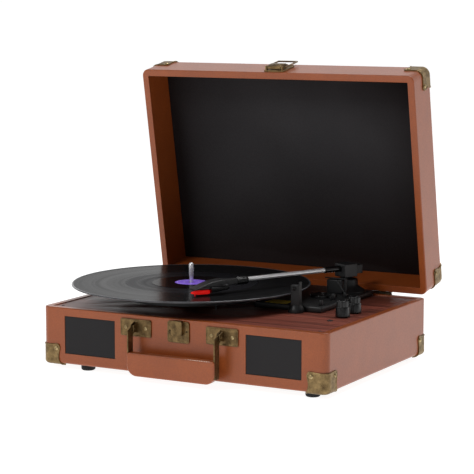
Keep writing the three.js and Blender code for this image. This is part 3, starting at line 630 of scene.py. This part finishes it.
def make_grille(side, low, high):
    """Cloth stretched over a frame, with its edges turned back."""
    across, up = high.x - low.x, high.z - low.z
    levels = [(0, 0), (0, 1.9 * MM), (0.15 * MM, 2.15 * MM), (0.6 * MM, 2.3 * MM), (4 * MM, 2.42 * MM)]
    shape = loft([[(x, y, z) for x, y in rounded(across - 2 * i, up - 2 * i, max(0.9 * MM - i, 0.3 * MM), 4)]
                  for i, z in levels])
    centre = (low + high) / 2
    turn = Matrix.Translation((centre.x, high.y, centre.z)) @ Matrix.Rotation(math.pi / 2, 4, "X")
    node = f"speaker_grille_{side}"
    piece(f"grille_cloth_{side}", shape, CLOTH, "base", [node], turn)


def make_lid():
    """The lid drawn shut: from the lining down the inner wall, round the rim and up to the top."""
    low, high = box_in("lid_shell", LID_TURN)
    ceiling = box_in("lid_liner", LID_TURN)[1].z + GAP
    profile = [(WALL, ceiling), (WALL, low.z + 0.9 * MM), (WALL - 0.25 * MM, low.z + 0.3 * MM),
               (WALL - 0.9 * MM, low.z)] + lower_edge(low.z, RIM_EDGE) + upper_edge(high.z, EDGE)
    shape = loft([case_ring(inset, z) for inset, z in profile])
    piece("lid_cover", shape, LEATHER, "lid", ["lid_shell"], LID_TURN)


# ------------------------------------------------------------------ metal corners
def brace_point(s, t, out):
    """Point on the case's corner: s along the outline from the corner, t up from the bottom edge, and out
    from the surface. The sharp corner of the case is the origin, and x, y and z lead into the case."""
    radius, quarter = CORNER_RADIUS, math.pi * CORNER_RADIUS / 4
    bend = math.pi * EDGE / 2
    if t < 0:
        inset, z, outward, upward = EDGE - t, 0.0, 0.0, -1.0
    elif t < bend:
        angle = t / EDGE
        inset, z = EDGE * (1 - math.sin(angle)), EDGE * (1 - math.cos(angle))
        outward, upward = math.sin(angle), -math.cos(angle)
    else:
        inset, z, outward, upward = 0.0, EDGE + t - bend, 1.0, 0.0
    pull = inset - out * outward
    height = z + out * upward
    if abs(s) <= quarter:
        angle = math.radians(225) - s / radius
        reach = radius - pull
        return Vector((radius + reach * math.cos(angle), radius + reach * math.sin(angle), height))
    far = radius + abs(s) - quarter
    return Vector((pull, far, height)) if s > 0 else Vector((far, pull, height))


def brace_shape():
    """Pressed cap over one corner, with concave edges, rounded lobes and a raised rim."""
    columns, rows = 56, 34
    half = BRACE["leg"] - CORNER_RADIUS + math.pi * CORNER_RADIUS / 4
    full = math.pi * EDGE / 2 + BRACE["height"] - EDGE
    outer, inner = [], []
    for row in range(rows + 1):
        b = 1 - (1 - row / rows) ** 1.5
        for column in range(columns + 1):
            a = math.sin(math.pi / 2 * (2 * column / columns - 1))
            lobe = (max(0.0, abs(a) - 0.72) / 0.28 * max(0.0, b - 0.72) / 0.28) ** 2
            top = full - BRACE["dip"] * (1 - a ** 4)
            reach = half - 2.2 * MM * math.sin(math.pi * min(1.0, b * 1.15)) ** 2
            reach += BRACE["flare"] * max(0.0, 1 - b / 0.3) ** 2
            s = a * reach - math.copysign(2.4 * MM * lobe, a)
            t = -BRACE["lip"] + b * (top + BRACE["lip"]) - 2.0 * MM * lobe
            from_edge = min((1 - abs(a)) * reach, (1 - b) * full)
            rim = max(0.0, 1 - (max(0.0, from_edge - 1.0 * MM) / (0.8 * MM)) ** 2)
            belly = max(0.0, 1 - b / 0.42) ** 2 * 1.1 * MM
            lift = BRACE["skin"] + 0.55 * MM * rim + belly
            if from_edge < 0.35 * MM:
                lift -= 0.25 * MM
            outer.append(brace_point(s, t, lift))
            inner.append(brace_point(s, t, 0.2 * MM))
    size = columns + 1
    count = len(outer)
    faces = []
    for row in range(rows):
        for column in range(columns):
            corners = (row * size + column, row * size + column + 1, (row + 1) * size + column + 1,
                       (row + 1) * size + column)
            faces.append(corners)
            faces.append(tuple(count + i for i in reversed(corners)))
    edge = [column for column in range(size)]
    edge += [row * size + columns for row in range(1, rows + 1)]
    edge += [rows * size + column for column in range(columns - 1, -1, -1)]
    edge += [row * size for row in range(rows - 1, 0, -1)]
    for here, there in zip(edge, edge[1:] + edge[:1]):
        faces.append((here, count + here, count + there, there))
    return outer + inner, faces


def brace_screws():
    """Two round screws in the lobes of a corner, one on each face."""
    s = BRACE["leg"] - CORNER_RADIUS + math.pi * CORNER_RADIUS / 4 - 5.8 * MM
    t = math.pi * EDGE / 2 + BRACE["height"] - EDGE - 7.2 * MM
    shapes = []
    for side in (-1, 1):
        place = brace_point(side * s, t, BRACE["skin"])
        outward = Vector((-1, 0, 0)) if side > 0 else Vector((0, -1, 0))
        turn = Matrix.Translation(place) @ outward.to_track_quat("Z", "Y").to_matrix().to_4x4()
        shapes.append(screw_head(turn, 2.8 * MM, 1.5 * MM))
    return joined(*shapes)


def make_corners():
    shape, screws = brace_shape(), brace_screws()
    lid_high = box_in("lid_shell", LID_TURN)[1]
    shells = (("base_corner", "base", base_low.z, 1, Matrix()),
              ("lid_corner", "lid", lid_high.z, -1, LID_TURN))
    for prefix, body, level, up, turn in shells:
        for side_x, x_name in ((-1, "left"), (1, "right")):
            for side_y, y_name in ((-1, "front"), (1, "back")):
                corner = middle + Vector((side_x * width / 2, side_y * depth / 2, level))
                place = turn @ Matrix.Translation(corner) @ Matrix.Diagonal((-side_x, -side_y, up, 1))
                name = f"{prefix}_{y_name}_{x_name}"
                piece(f"brace_{name}", shape, BRASS, body, [name], place, 50)
                # Screw heads in the lighter brass copy: painted highlight.
                piece(f"screws_{name}", screws, BRASS_HIGHLIGHT, body, (), place)


# ------------------------------------------------------------------ handle
def make_handle():
    for side in ("left", "right"):
        low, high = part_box(f"handle_bracket_{side}")
        x, z = (low.x + high.x) / 2, (low.z + high.z) / 2
        parts = [moved(embossed(BRACKET["width"], BRACKET["height"], 2 * MM), on_front(x, z))]
        pivot = Vector(joints["handle_swing"]["pos_m"])
        cheek = [(base_low.y - 1.4 * MM, 7.4), (pivot.y - 2.6 * MM, 4.2), (pivot.y - 3.4 * MM, 2.4),
                 (pivot.y - 3.0 * MM, -3.4), (base_low.y - 1.4 * MM, -6)]
        for offset in (-1.9 * MM, 1.9 * MM):
            parts.append(slab([(y, pivot.z + up * MM) for y, up in cheek], x + offset - 0.6 * MM,
                              x + offset + 0.6 * MM))
        for side_x in (-1, 1):
            pin_ends = [(x + side_x * reach, pivot.y, pivot.z) for reach in (1.15 * MM, 3.4 * MM)]
            parts.append(rod(*pin_ends, BRACKET["pin"]))
        node = f"handle_bracket_{side}"
        # Bracket plate in the darker brass copy: painted shade.
        piece(f"plate_{node}", joined(*parts), BRASS_SHADED, "base", [node])
        heads = [screw_head(on_front(x + dx, z, rise=PLATE["thickness"] - PLATE["field"]))
                 for dx in (-BRACKET["screw"], BRACKET["screw"])]
        # Screw heads in the lighter brass copy: painted highlight.
        piece(f"screws_{node}", joined(*heads), BRASS_HIGHLIGHT, "base")
    make_straps()
    make_grip()


def make_straps():
    """Flat metal straps that hang from the pivots and hold the grip between them."""
    grip_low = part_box("handle_grip")[0]
    pivot = Vector(joints["handle_swing"]["pos_m"])
    front, back = grip_low.y + STRAP["front"], grip_low.y + STRAP["back"]
    foot, half = grip_low.z + STRAP["foot"], STRAP["thickness"] / 2
    outline = [(front, foot + 3 * MM), (front + 0.9 * MM, foot + 0.9 * MM), (front + 3 * MM, foot),
               (back - 3 * MM, foot), (back - 0.9 * MM, foot + 0.9 * MM), (back, foot + 3 * MM),
               (back, pivot.z - 7 * MM)]
    for degrees in range(-50, 121, 17):
        angle = math.radians(degrees)
        outline.append((pivot.y + STRAP["head"] * math.cos(angle), pivot.z + STRAP["head"] * math.sin(angle)))
    outline.append((front, pivot.z - 1.6 * MM))
    for side in ("left", "right"):
        low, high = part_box(f"handle_strap_{side}")
        x = (low.x + high.x) / 2
        strap = slab(outline, x - half, x + half)
        # Straps in the darker brass copy: painted shade.
        piece(f"strap_{side}", strap, BRASS_SHADED, "handle", [f"handle_strap_{side}"])


def make_grip():
    """Padded leatherette grip with round lower corners and a sewn top edge."""
    low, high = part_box("handle_grip")
    strap_low, strap_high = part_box("handle_strap_right")
    strap = (strap_low.x + strap_high.x) / 2
    half, up, turn_radius = strap - (low.x + high.x) / 2 + 0.9 * MM, (high.z - low.z) / 2, GRIP["corner"]
    outline = []
    for centre_x, centre_z, radius, start in ((half - turn_radius, -up + turn_radius, turn_radius, -90),
                                              (half - 2.4 * MM, up - 2.4 * MM, 2.4 * MM, 0),
                                              (-half + 2.4 * MM, up - 2.4 * MM, 2.4 * MM, 90),
                                              (-half + turn_radius, -up + turn_radius, turn_radius, 180)):
        for step in range(11):
            angle = math.radians(start + 9 * step)
            outline.append((centre_x + radius * math.cos(angle), centre_z + radius * math.sin(angle),
                            math.cos(angle), math.sin(angle)))
    centre, thick, edge = (low + high) / 2, high.y - low.y, GRIP["edge"]
    angles = [step * math.pi / 10 for step in range(6)]
    levels = [(edge * (1 - math.sin(a)), edge * (1 - math.cos(a))) for a in angles]
    levels += [(0, thick * 0.45), (0.35 * MM, thick * 0.5), (0, thick * 0.55)]
    levels += [(inset, thick - depth_in) for inset, depth_in in reversed(levels[:6])]
    rings = [[(centre.x + x - inset * nx, low.y + y, centre.z + z - inset * nz) for x, z, nx, nz in outline]
             for inset, y in levels]
    padding = piece("grip_padding", loft(rings), LEATHER, "handle", ["handle_grip"])
    notch, past = half - 2 * MM, 5 * MM
    tools = []
    for start, end in ((-half - past, -notch), (notch, half + past)):
        tools.append(block((start + centre.x, low.y + 1.7 * MM, low.z - past),
                           (end + centre.x, high.y + past, high.z + past), 0.1 * MM, 1))
    carve(padding, *tools)
    pitch, length = GRIP["pitch"], GRIP["stitch"]
    count = int((2 * half - 8 * MM) / pitch)
    stitches = []
    for i in range(count):
        x = centre.x - half + 4 * MM + i * pitch
        y, z = low.y + 0.75 * MM, high.z - 0.55 * MM
        stitches.append(rod((x, y, z), (x + length, y, z), 0.38 * MM, 10))
    # The thread pales towards the right end: painted highlight.
    thread = thread_with_painted_highlight(centre.x + half * 0.3, centre.x + half * 0.5)
    piece("grip_stitches", joined(*stitches), thread, "handle")


# ------------------------------------------------------------------ latch and hinges
def make_latch():
    low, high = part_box("latch_catch")
    x = (low.x + high.x) / 2
    plate_width, plate_height = high.x - low.x, 26 * MM
    plate_z = low.z + plate_height / 2
    plate = moved(embossed(plate_width, plate_height, 3 * MM), on_front(x, plate_z))
    tab_high, tab_height = base_high.z - 1.3 * MM, 18 * MM
    tab = moved(embossed(15 * MM, tab_height, 2.4 * MM, 6.1 * MM - MM, 1.2 * MM, 0.35 * MM),
                on_front(x, tab_high - tab_height / 2, rise=MM))
    # Catch in the darker brass copy: painted shade.
    piece("catch_plate", joined(plate, tab), BRASS_SHADED, "base", ["latch_catch"])
    # The catch pins take the darkest brass copy: painted shade.
    dimples = [screw_head(on_front(x + side * 11.6 * MM, plate_z + 1 * MM, rise=1.0 * MM), 1.1 * MM, 0.5 * MM)
               for side in (-1, 1)]
    piece("catch_pins", joined(*dimples), BRASS_DEEP_SHADE, "base")

    low, high = box_in("latch_plate", LID_TURN)
    plate_height = 32 * MM
    place = on_front(x, high.z - plate_height / 2, LID_TURN)
    plate = moved(embossed(plate_width, plate_height, 3 * MM), place)
    pivot = LID_TURN.inverted() @ Vector(joints["latch_lever_hinge"]["pos_m"])
    lugs = []
    for lug in (x - 11.4 * MM, x + 11.4 * MM):
        lug_low = (lug - MM, low.y, pivot.z - 2.4 * MM)
        lug_high = (lug + MM, base_low.y - MM, pivot.z + 2.4 * MM)
        lugs.append(moved(block(lug_low, lug_high, 0.4 * MM), LID_TURN))
    pin = moved(rod((x - 12 * MM, pivot.y, pivot.z), (x + 12 * MM, pivot.y, pivot.z), 1.1 * MM), LID_TURN)
    piece("latch_back_plate", joined(plate, *lugs, pin), BRASS, "lid", ["latch_plate"])


def make_hinge_screws():
    heads = {"base": [], "lid": []}
    axis = joints["lid_hinge"]["pos_m"][2]
    outward = Matrix.Rotation(-math.pi / 2, 4, "X")
    for side in ("left", "right"):
        low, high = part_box(f"hinge_lower_{side}")
        for share in (0.25, 0.75):
            x = low.x + (high.x - low.x) * share
            z = low.z + 7 * MM
            for body, turn, level in (("base", Matrix(), z), ("lid", LID_TURN, 2 * axis - z)):
                place = Matrix.Translation((x, base_high.y + 1.5 * MM, level)) @ outward
                heads[body].append(screw_head(turn @ place, 1.9 * MM, 0.8 * MM))
    for body, shapes in heads.items():
        # Hinge screws in the darkest brass copy: painted shade.
        piece(f"hinge_screws_{body}", joined(*shapes), BRASS_DEEP_SHADE, body)


# ------------------------------------------------------------------ record and turntable
def make_turntable():
    spot, radius, low, high = spot_of("record")
    hole, bead = 3.95 * MM, RECORD["bead"]
    top, bottom = high.z, low.z
    label, wax = RECORD["label"], RECORD["dead_wax"]
    profile = [
        (hole, bottom), (radius - 3 * MM, bottom), (radius - 0.3 * MM, top - 1.1 * MM),
        (radius, top - 0.8 * MM), (radius - 0.1 * MM, top - 0.4 * MM), (radius - 0.5 * MM, top - 0.1 * MM),
        (radius - 1.1 * MM, top), (radius - bead, top), (radius - bead - MM, top - 0.25 * MM),
        (wax, top - 0.25 * MM), (wax - 0.6 * MM, top - 0.42 * MM), (label + 1.6 * MM, top - 0.42 * MM),
        (label + 0.8 * MM, top - 0.15 * MM), (label, top - 0.3 * MM), (hole, top - 0.3 * MM)]
    centre = (low + high) / 2
    piece("record_disc", turned(profile, 240, spot), vinyl(centre), "platter", ["record"], sharp=60)
    # Light grey bead round the record's edge: a painted highlight along its rim.
    bead_centre, bead_height = radius - 1.2 * MM, top - 0.75 * MM
    ring = []
    for degrees in range(0, 360, 24):
        angle = math.radians(degrees)
        ring.append((bead_centre + 1.15 * MM * math.cos(angle), bead_height + 1.0 * MM * math.sin(angle)))
    piece("record_rim", turned(ring, 240, spot), RIM_HIGHLIGHT, "platter", (), sharp=80)
    make_label(spot, hole, top)

    low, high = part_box("spindle")
    r = 3.1 * MM
    dome = []
    for degrees in range(0, 90, 10):
        angle = math.radians(degrees)
        dome.append((r * math.cos(angle), high.z - r * (1 - math.sin(angle))))
    profile = [(0, low.z), (r - 0.4 * MM, low.z), (r - 0.4 * MM, top - MM), (r * 0.72, top + MM),
               (r * 0.78, top + 4 * MM), (r, top + 10 * MM)] + dome + [(0, high.z)]
    piece("spindle_pin", turned(profile, 48, spot), CHROME, "platter", ["spindle"])
    make_platter(spot)


def make_label(spot, hole, top):
    """Black label with a purple centre and two pale rings."""
    label, purple, sheet_top = RECORD["label"], RECORD["centre"], top - 0.12 * MM
    outer = [(hole, top - 0.28 * MM), (label - 0.4 * MM, top - 0.28 * MM), (label - 0.4 * MM, sheet_top),
             (purple, sheet_top), (hole, sheet_top)]
    black = paper("label_black", (18, 13, 13), (28, 22, 22), 0.2, 1.06)
    piece("record_label", turned(outer, 128, spot), black, "platter")
    inner = [(hole, sheet_top - 0.05 * MM), (purple, sheet_top - 0.05 * MM), (purple, top), (hole, top)]
    violet = paper("label_purple", (132, 82, 236), (172, 142, 248), 0.4, 1.15)
    piece("record_label_centre", turned(inner, 96, spot), violet, "platter")
    for ring, share in (("inner", 0.45), ("outer", 0.86)):
        r = purple * share
        line = [(r, top - 0.05 * MM), (r + 0.5 * MM, top - 0.05 * MM), (r + 0.5 * MM, top + 0.06 * MM),
                (r, top + 0.06 * MM)]
        pale = paper(f"ring_{ring}", (190, 172, 246), (222, 210, 252), 0.5)
        piece(f"record_label_ring_{ring}", turned(line, 96, spot), pale, "platter")


def make_platter(spot):
    """Platter dish with its hub, and a plain mat on it."""
    low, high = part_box("platter")
    r, web = (high.x - low.x) / 2, 3.6 * MM
    bore, skirt = 3.9 * MM, r - 2.4 * MM
    profile = [(bore, high.z), (r - 1.2 * MM, high.z), (r - 0.3 * MM, high.z - 0.3 * MM),
               (r, high.z - 1.2 * MM), (r, low.z), (skirt, low.z), (skirt, high.z - web),
               (bore, high.z - web)]
    piece("platter_dish", turned(profile, 160, spot), BLACK, "platter", ["platter"])
    hub, wall, ceiling = 50 * MM, 3 * MM, high.z - web + 0.2 * MM
    hub_ring = [(hub - wall, low.z), (hub, low.z), (hub, ceiling), (hub - wall, ceiling)]
    piece("platter_hub", turned(hub_ring, 96, spot), BLACK, "platter")
    low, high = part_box("platter_mat")
    r = (high.x - low.x) / 2
    profile = [(bore, low.z), (r, low.z), (r, high.z - 0.5 * MM), (r - 0.5 * MM, high.z), (bore, high.z)]
    piece("mat_ribbed", turned(profile, 128, spot), RUBBER, "platter", ["platter_mat"])


# ------------------------------------------------------------------ controls and small parts on the deck
def make_knob(node):
    """Skirted knob: smooth flared skirt, fluted grip and a scalloped crown."""
    spot, _, low, high = spot_of(node)
    deck_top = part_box("deck_plate")[1].z
    foot, head = 8.75 * MM, 7.3 * MM
    bottom, top = deck_top + 0.5 * MM, high.z
    skirt = bottom + (top - bottom) * 0.6
    flutes = 10

    def ripple(angle, radius, z):
        if z <= skirt or radius < 3 * MM:
            return radius * (1 - 0.008 * math.cos(30 * angle)) if radius > 6 * MM else radius
        return radius - 0.85 * MM * max(0.0, math.cos(flutes * angle)) ** 2

    profile = [(0, low.z), (3 * MM, low.z), (3 * MM, bottom), (foot - 0.5 * MM, bottom),
               (foot, bottom + 0.5 * MM), (foot, bottom + 1.4 * MM), (head + 0.55 * MM, skirt - 0.8 * MM),
               (head + 0.25 * MM, skirt), (head, skirt + 0.6 * MM), (head - 0.05 * MM, top - 1.4 * MM),
               (head - 0.5 * MM, top - 0.5 * MM), (head - 1.5 * MM, top), (head - 2.2 * MM, top),
               (head - 3.2 * MM, top - 0.7 * MM), (0, top - 0.7 * MM)]
    shape = turned(profile, 180, spot, ripple)
    piece(f"{node}_cap", shape, GLOSS_BLACK, node, [node], sharp=48)


def make_small_parts():
    for node in ("volume_knob", "tone_knob"):
        make_knob(node)
    spot, r, low, high = spot_of("adapter_45")
    profile = [(3.8 * MM, low.z), (r, low.z), (r, high.z - 1.2 * MM), (r - 0.4 * MM, high.z - 0.4 * MM),
               (r - 1.4 * MM, high.z),
               *in_mm([(9, 0), (8.2, -0.6), (5.4, -0.6), (4.6, 0), (3.8, -0.6)], high.z)]
    piece("adapter_dish", turned(profile, 96, spot), GLOSS_BLACK, "base", ["adapter_45"])
    spot, _, low, high = spot_of("aux_jack")
    profile = [*in_mm([(0, 0), (3.6, 0)], low.z),
               *in_mm([(3.6, -0.3), (3.2, 0), (2.2, 0), (1.8, -0.4)], high.z),
               *in_mm([(1.8, 2), (0, 2)], low.z)]
    piece("aux_jack_barrel", turned(profile, 48, spot), BLACK, "base", ["aux_jack"])
    plate_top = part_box("arm_plate")[1].z
    card_low = (middle.x + 49 * MM, middle.y - 18.6 * MM, plate_top)
    card_high = (middle.x + 79 * MM, middle.y + 4 * MM, plate_top + 0.25 * MM)
    yellow = paper("label_yellow", (255, 208, 52), (255, 226, 104), 0.45)
    piece("caution_card", block(card_low, card_high, 0.12 * MM, 2), yellow, "base")
    for x in ("left", "right"):
        for y in ("front", "back"):
            node = f"foot_{y}_{x}"
            spot, r, _, high = spot_of(node)
            profile = [(0, high.z), (r, high.z), (r, 2.4 * MM), (r - 0.35 * MM, 0.9 * MM), (r - 1.5 * MM, 0),
                       *in_mm([(4, 0), (3.4, 0.7), (3.4, 3), (0, 3)])]
            piece(f"pad_{node}", turned(profile, 64, spot), RUBBER, "base", [node])


# ------------------------------------------------------------------ tone arm
def make_arm():
    """Pedestal, cueing lift, rest, chrome tube, headshell and stylus."""
    low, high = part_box("arm_pedestal")
    plate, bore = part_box("arm_plate")[1].z, 3.4 * MM
    profile = [(0, low.z), (3.1 * MM, low.z), (3.1 * MM, plate + GAP), (24 * MM, plate + GAP),
               *in_mm([(23.6, 1.4), (17.4, 5.6), (15, 7.6), (13.9, 9.6)], plate),
               *in_mm([(13.7, -1.2), (13.3, -0.3), (12.5, 0)], high.z), (bore, high.z),
               (bore, plate + 2.5 * MM), (0, plate + 2.5 * MM)]
    spot = (arm_pivot.x, arm_pivot.y)
    piece("pedestal_turned", turned(profile, 96, spot), BLACK, "base", ["arm_pedestal"])
    make_lift(plate)
    make_arm_rest()
    make_arm_block()

    tube, head = ARM["tube"], ARM["head"]
    chrome_tube = rod((0, -ARM["sleeve"], ARM["near"]), (0, -head, ARM["far"]), tube, 40, 0.3 * MM)
    piece("tube_polished", chrome_tube, CHROME, "tone_arm", ["arm_tube"], ARM_TURN)
    collar = in_mm([(0, 0), (4.6, 0), (5, 0.4), (5, 4.2), (4.5, 4.6), (4.5, 5.4), (5, 5.8), (5, 14.6),
                    (4.4, 16.2), (0, 16.2)])
    ribbed = turned(collar, 72, (0, 0), lambda angle, radius, z: radius * (1 + 0.02 * math.cos(24 * angle)))
    end = Matrix.Translation((0, -head, ARM["far"] - 0.6 * MM))
    place = ARM_TURN @ end @ Matrix.Rotation(math.pi / 2, 4, "X")
    piece("headshell_collar", ribbed, GLOSS_BLACK, "tone_arm", (), place)
    make_headshell()


def make_lift(plate):
    """Bar that rises under the arm, and the housing beside it."""
    housing_low = (middle.x + 86.5 * MM, middle.y + 78 * MM, plate + GAP)
    housing_high = (middle.x + 108.6 * MM, middle.y + 88 * MM, plate + 18 * MM)
    piece("lift_housing", block(housing_low, housing_high, 1.2 * MM), BLACK, "base")
    low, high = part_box("lift_bar")
    x, y = high.x - 3 * MM, (low.y + high.y) / 2
    bar = block((low.x, y - 2 * MM, high.z - 2.4 * MM), (high.x, y + 2 * MM, high.z - 1.2 * MM), 0.3 * MM)
    stalk = rod((x, y, low.z), (x, y, high.z - 1.8 * MM), 1.8 * MM)
    piece("lift_bar_flat", joined(bar, stalk), BLACK, "lift_bar", ["lift_bar"])


def make_arm_rest():
    """Bell foot, stem with a hole through it and a prong that stops the parked arm."""
    (x, y), _, low, high = spot_of("arm_rest")
    shelf = high.z - 4 * MM
    foot = in_mm([(0, 0), (10, 0), (10, 3), (9.4, 4.6), (8.4, 6.8), (7.4, 8.6), (6.6, 9.4), (0, 9.4)], low.z)
    piece("rest_foot", turned(foot, 72, (x, y)), BLACK, "base", ["arm_rest"])
    stem = block((x - 5.4 * MM, y - 5 * MM, low.z + 8 * MM), (x + 6.3 * MM, y + 2.6 * MM, shelf), 0.9 * MM)
    made = piece("rest_stem", stem, BLACK, "base")
    hole = shelf - 4.4 * MM
    carve(made, rod((x, y - 9 * MM, hole), (x, y + 9 * MM, hole), 2.7 * MM, 32))
    prong_low, prong_high = (x + 4.4 * MM, y - 2.8 * MM, shelf - 2 * MM), (x + 6.2 * MM, y + 2.8 * MM, high.z)
    piece("rest_prong", block(prong_low, prong_high, 0.7 * MM), BLACK, "base")


def make_arm_block():
    """Pivot block with a fluted front, and the sleeve that holds the tube."""
    high = box_in("arm_block", ARM_TURN)[1]
    bottom, top = high.z - ARM["block"], high.z
    half, front = 10.5 * MM, 12 * MM
    body = block((-half, -front, bottom), (half, 9 * MM, top), 1.1 * MM)
    tail = block((-6.5 * MM, 8 * MM, bottom + 3 * MM), (6.5 * MM, high.y, top - 2.5 * MM), MM)
    flutes = [rod((x * MM, -front, bottom + 1.5 * MM), (x * MM, -front, top - 2.2 * MM), 0.8 * MM, 16)
              for x in (-8.4, -6.0, 6.0, 8.4)]
    near = ARM["near"]
    sleeve = rod((0, -11 * MM, near), (0, -ARM["sleeve"] - 0.5 * MM, near), 3.9 * MM, 40, 0.5 * MM)
    made = piece("block_body", body, BLACK, "tone_arm", ["arm_block"], ARM_TURN)
    hollow_high = (7.5 * MM, 8.5 * MM, bottom + ARM["hollow"])
    carve(made, moved(block((-7.5 * MM, -8.5 * MM, bottom - MM), hollow_high, 0.4 * MM, 1), ARM_TURN))
    piece("block_trim", joined(tail, *flutes), BLACK, "tone_arm", (), ARM_TURN)
    piece("tube_sleeve", sleeve, GLOSS_BLACK, "tone_arm", (), ARM_TURN)


def make_headshell():
    """Shell that rises behind the collar and slopes to its nose, with the cartridge and stylus under it."""
    shell = [                          # distance from the pivot, half width, bottom and top heights
        (174.9, 4.2, 109.4, 117.0), (181, 4.6, 109.6, 117.0), (186.6, 6.2, 109.6, 116.8),
        (192, 7.6, 108.4, 117.3), (198.5, 8.2, 108.4, 117.7), (206, 8.2, 109.4, 117.3),
        (214, 8.2, 110.2, 116.6), (221, 8.1, 110.0, 114.9), (228, 7.9, 109.4, 112.9),
        (235, 7.6, 108.5, 110.6), (239.6, 7.1, 108.0, 109.4)]
    body = sections_along(shell, 1.5 * MM, 5, 0.4)
    piece("headshell_body", body, BLACK, "tone_arm", ["headshell"], ARM_TURN, 28)
    trim = []
    for rib in range(3):
        rib_low = (-5.4 * MM, -(199.5 + 2.4 * rib) * MM, 116 * MM)
        rib_high = (5.4 * MM, -(198.3 + 2.4 * rib) * MM, (118.1 - 0.2 * rib) * MM)
        trim.append(block(rib_low, rib_high, 0.25 * MM, 2))
    for x_low, x_high, z_low, z_high in ((8, 15, 110.4, 111.4), (14.2, 15.2, 110.6, 113.4)):
        hook_low = (x_low * MM, -201 * MM, z_low * MM)
        hook_high = (x_high * MM, -196.5 * MM, z_high * MM)
        trim.append(block(hook_low, hook_high, 0.4 * MM))
    piece("headshell_trim", joined(*trim), BLACK, "tone_arm", (), ARM_TURN)
    cartridge = [(188.4, 6.0, 106.2, 109.4), (192, 6.4, 104.6, 109.2), (206, 6.6, 103.6, 110.6),
                 (215.4, 6.6, 103.2, 110.9), (215.5, 4.6, 107.0, 110.9), (229, 4.2, 107.0, 109.9)]
    body = sections_along(cartridge, 0.7 * MM)
    piece("cartridge_body", body, GLOSS_BLACK, "tone_arm", (), ARM_TURN)

    low = box_in("stylus_holder", ARM_TURN)[0]
    stylus = [(215.8, 3.4, 101.8, 106.0), (220, 3.9, 101.6, 106.1), (233, 4.0, 102.2, 105.9),
              (238, 3.7, 102.8, 105.4), (239.3, 3.1, 103.2, 104.9)]
    needle_y = low.y + 4 * MM
    needle = rod((0, needle_y, 101.8 * MM), (0, needle_y, low.z), 0.5 * MM, 16)
    body = joined(sections_along(stylus, 0.7 * MM), needle)
    piece("stylus_red_body", body, RED, "tone_arm", ["stylus_holder"], ARM_TURN)


# ------------------------------------------------------------------ CAD nodes that stay
def keep(nodes, look, edge=0.35 * MM):
    """Gives CAD nodes a material and eased edges."""
    for name in nodes:
        node = frame["nodes"][name]
        node.data.materials.clear()
        node.data.materials.append(look)
        weld = node.modifiers.new("weld", "WELD")
        weld.merge_threshold = 1e-6
        if edge:
            bevel = node.modifiers.new("bevel", "BEVEL")
            bevel.width = edge
            bevel.segments = 3
            bevel.limit_method = "ANGLE"
            bevel.angle_limit = math.radians(38)
            bevel.harden_normals = True
        node.data.polygons.foreach_set("use_smooth", [True] * len(node.data.polygons))


def matching(prefix):
    return [name for name in frame["nodes"] if name.startswith(prefix)]


make_camera()
make_world()
make_stage()
LEATHER = leatherette()
BRASS = brass()
# Lighter, smoother copy of the brass for screw heads: painted highlight on their domes.
BRASS_HIGHLIGHT = brass("brass_painted_highlight", (214, 192, 144), (124, 102, 68), 0.24)
# Darker copy of the brass: painted shade on the handle brackets and straps, the catch and the latch.
BRASS_SHADED = brass("brass_painted_shade", (146, 120, 80), (62, 48, 30), 0.32)
# Darkest copy of the brass: painted shade on the hinges at the back and their screws, also used for the small
# catch pins.
BRASS_DEEP_SHADE = brass("brass_painted_deep_shade", (70, 58, 40), (34, 28, 20), 0.5)
WOOD = mahogany()
BLACK = plastic("black_plastic", (27, 27, 28), 0.42)
GLOSS_BLACK = plastic("black_plastic_gloss", (11, 11, 12), 0.15, 0.03)
# Light grey for the record's rim bead: painted highlight.
RIM_HIGHLIGHT = plastic("record_rim", (98, 98, 101), 0.2, 0.02)
CLOTH = woven("speaker_cloth", (58, 56, 57), (30, 29, 30), 0.9 * MM)
# Chrome only partly metallic, so its near-white colour also shows as diffuse white: painted reflection that
# brightens the tube and spindle.
CHROME = metal("chrome", (250, 250, 253), 0.18, None, 0.62)
STEEL = metal("steel", (150, 150, 154), 0.32, (1400, 60, 60))
RUBBER = plastic("rubber", (20, 20, 20), 0.72, 0.3, 700)
# The stylus glows a little by itself: painted light that makes its red look brightly lit.
RED = plastic("stylus_red", (255, 22, 16), 0.3, 0.05, painted_glow=0.35)
BOARD = paper("hardboard", (92, 66, 42), (122, 92, 62), 0.85)

make_base()
make_lid()
make_corners()
make_handle()
make_latch()
make_hinge_screws()
make_turntable()
make_small_parts()
make_arm()

keep(["lid_liner"], lining(), 0)
keep(["deck_plate"], WOOD)
keep(["bottom_board"], BOARD)
keep(["arm_plate"], BLACK, 0.5 * MM)
keep(["arm_swivel", "cue_lever", "speed_switch", "auto_stop_switch", "rear_sockets"], BLACK)
# Hinges in the darkest brass copy: painted shade in the gap behind the case.
keep(matching("hinge_"), BRASS_DEEP_SHADE)
# Latch lever and loop in the darker brass copy: painted shade.
keep(["latch_lever", "latch_loop"], BRASS_SHADED)
keep(["motor", "motor_pulley", "bearing_housing"], STEEL)
keep(["drive_belt"], RUBBER, 0)
keep(matching("speaker_left") + matching("speaker_right"), BLACK)
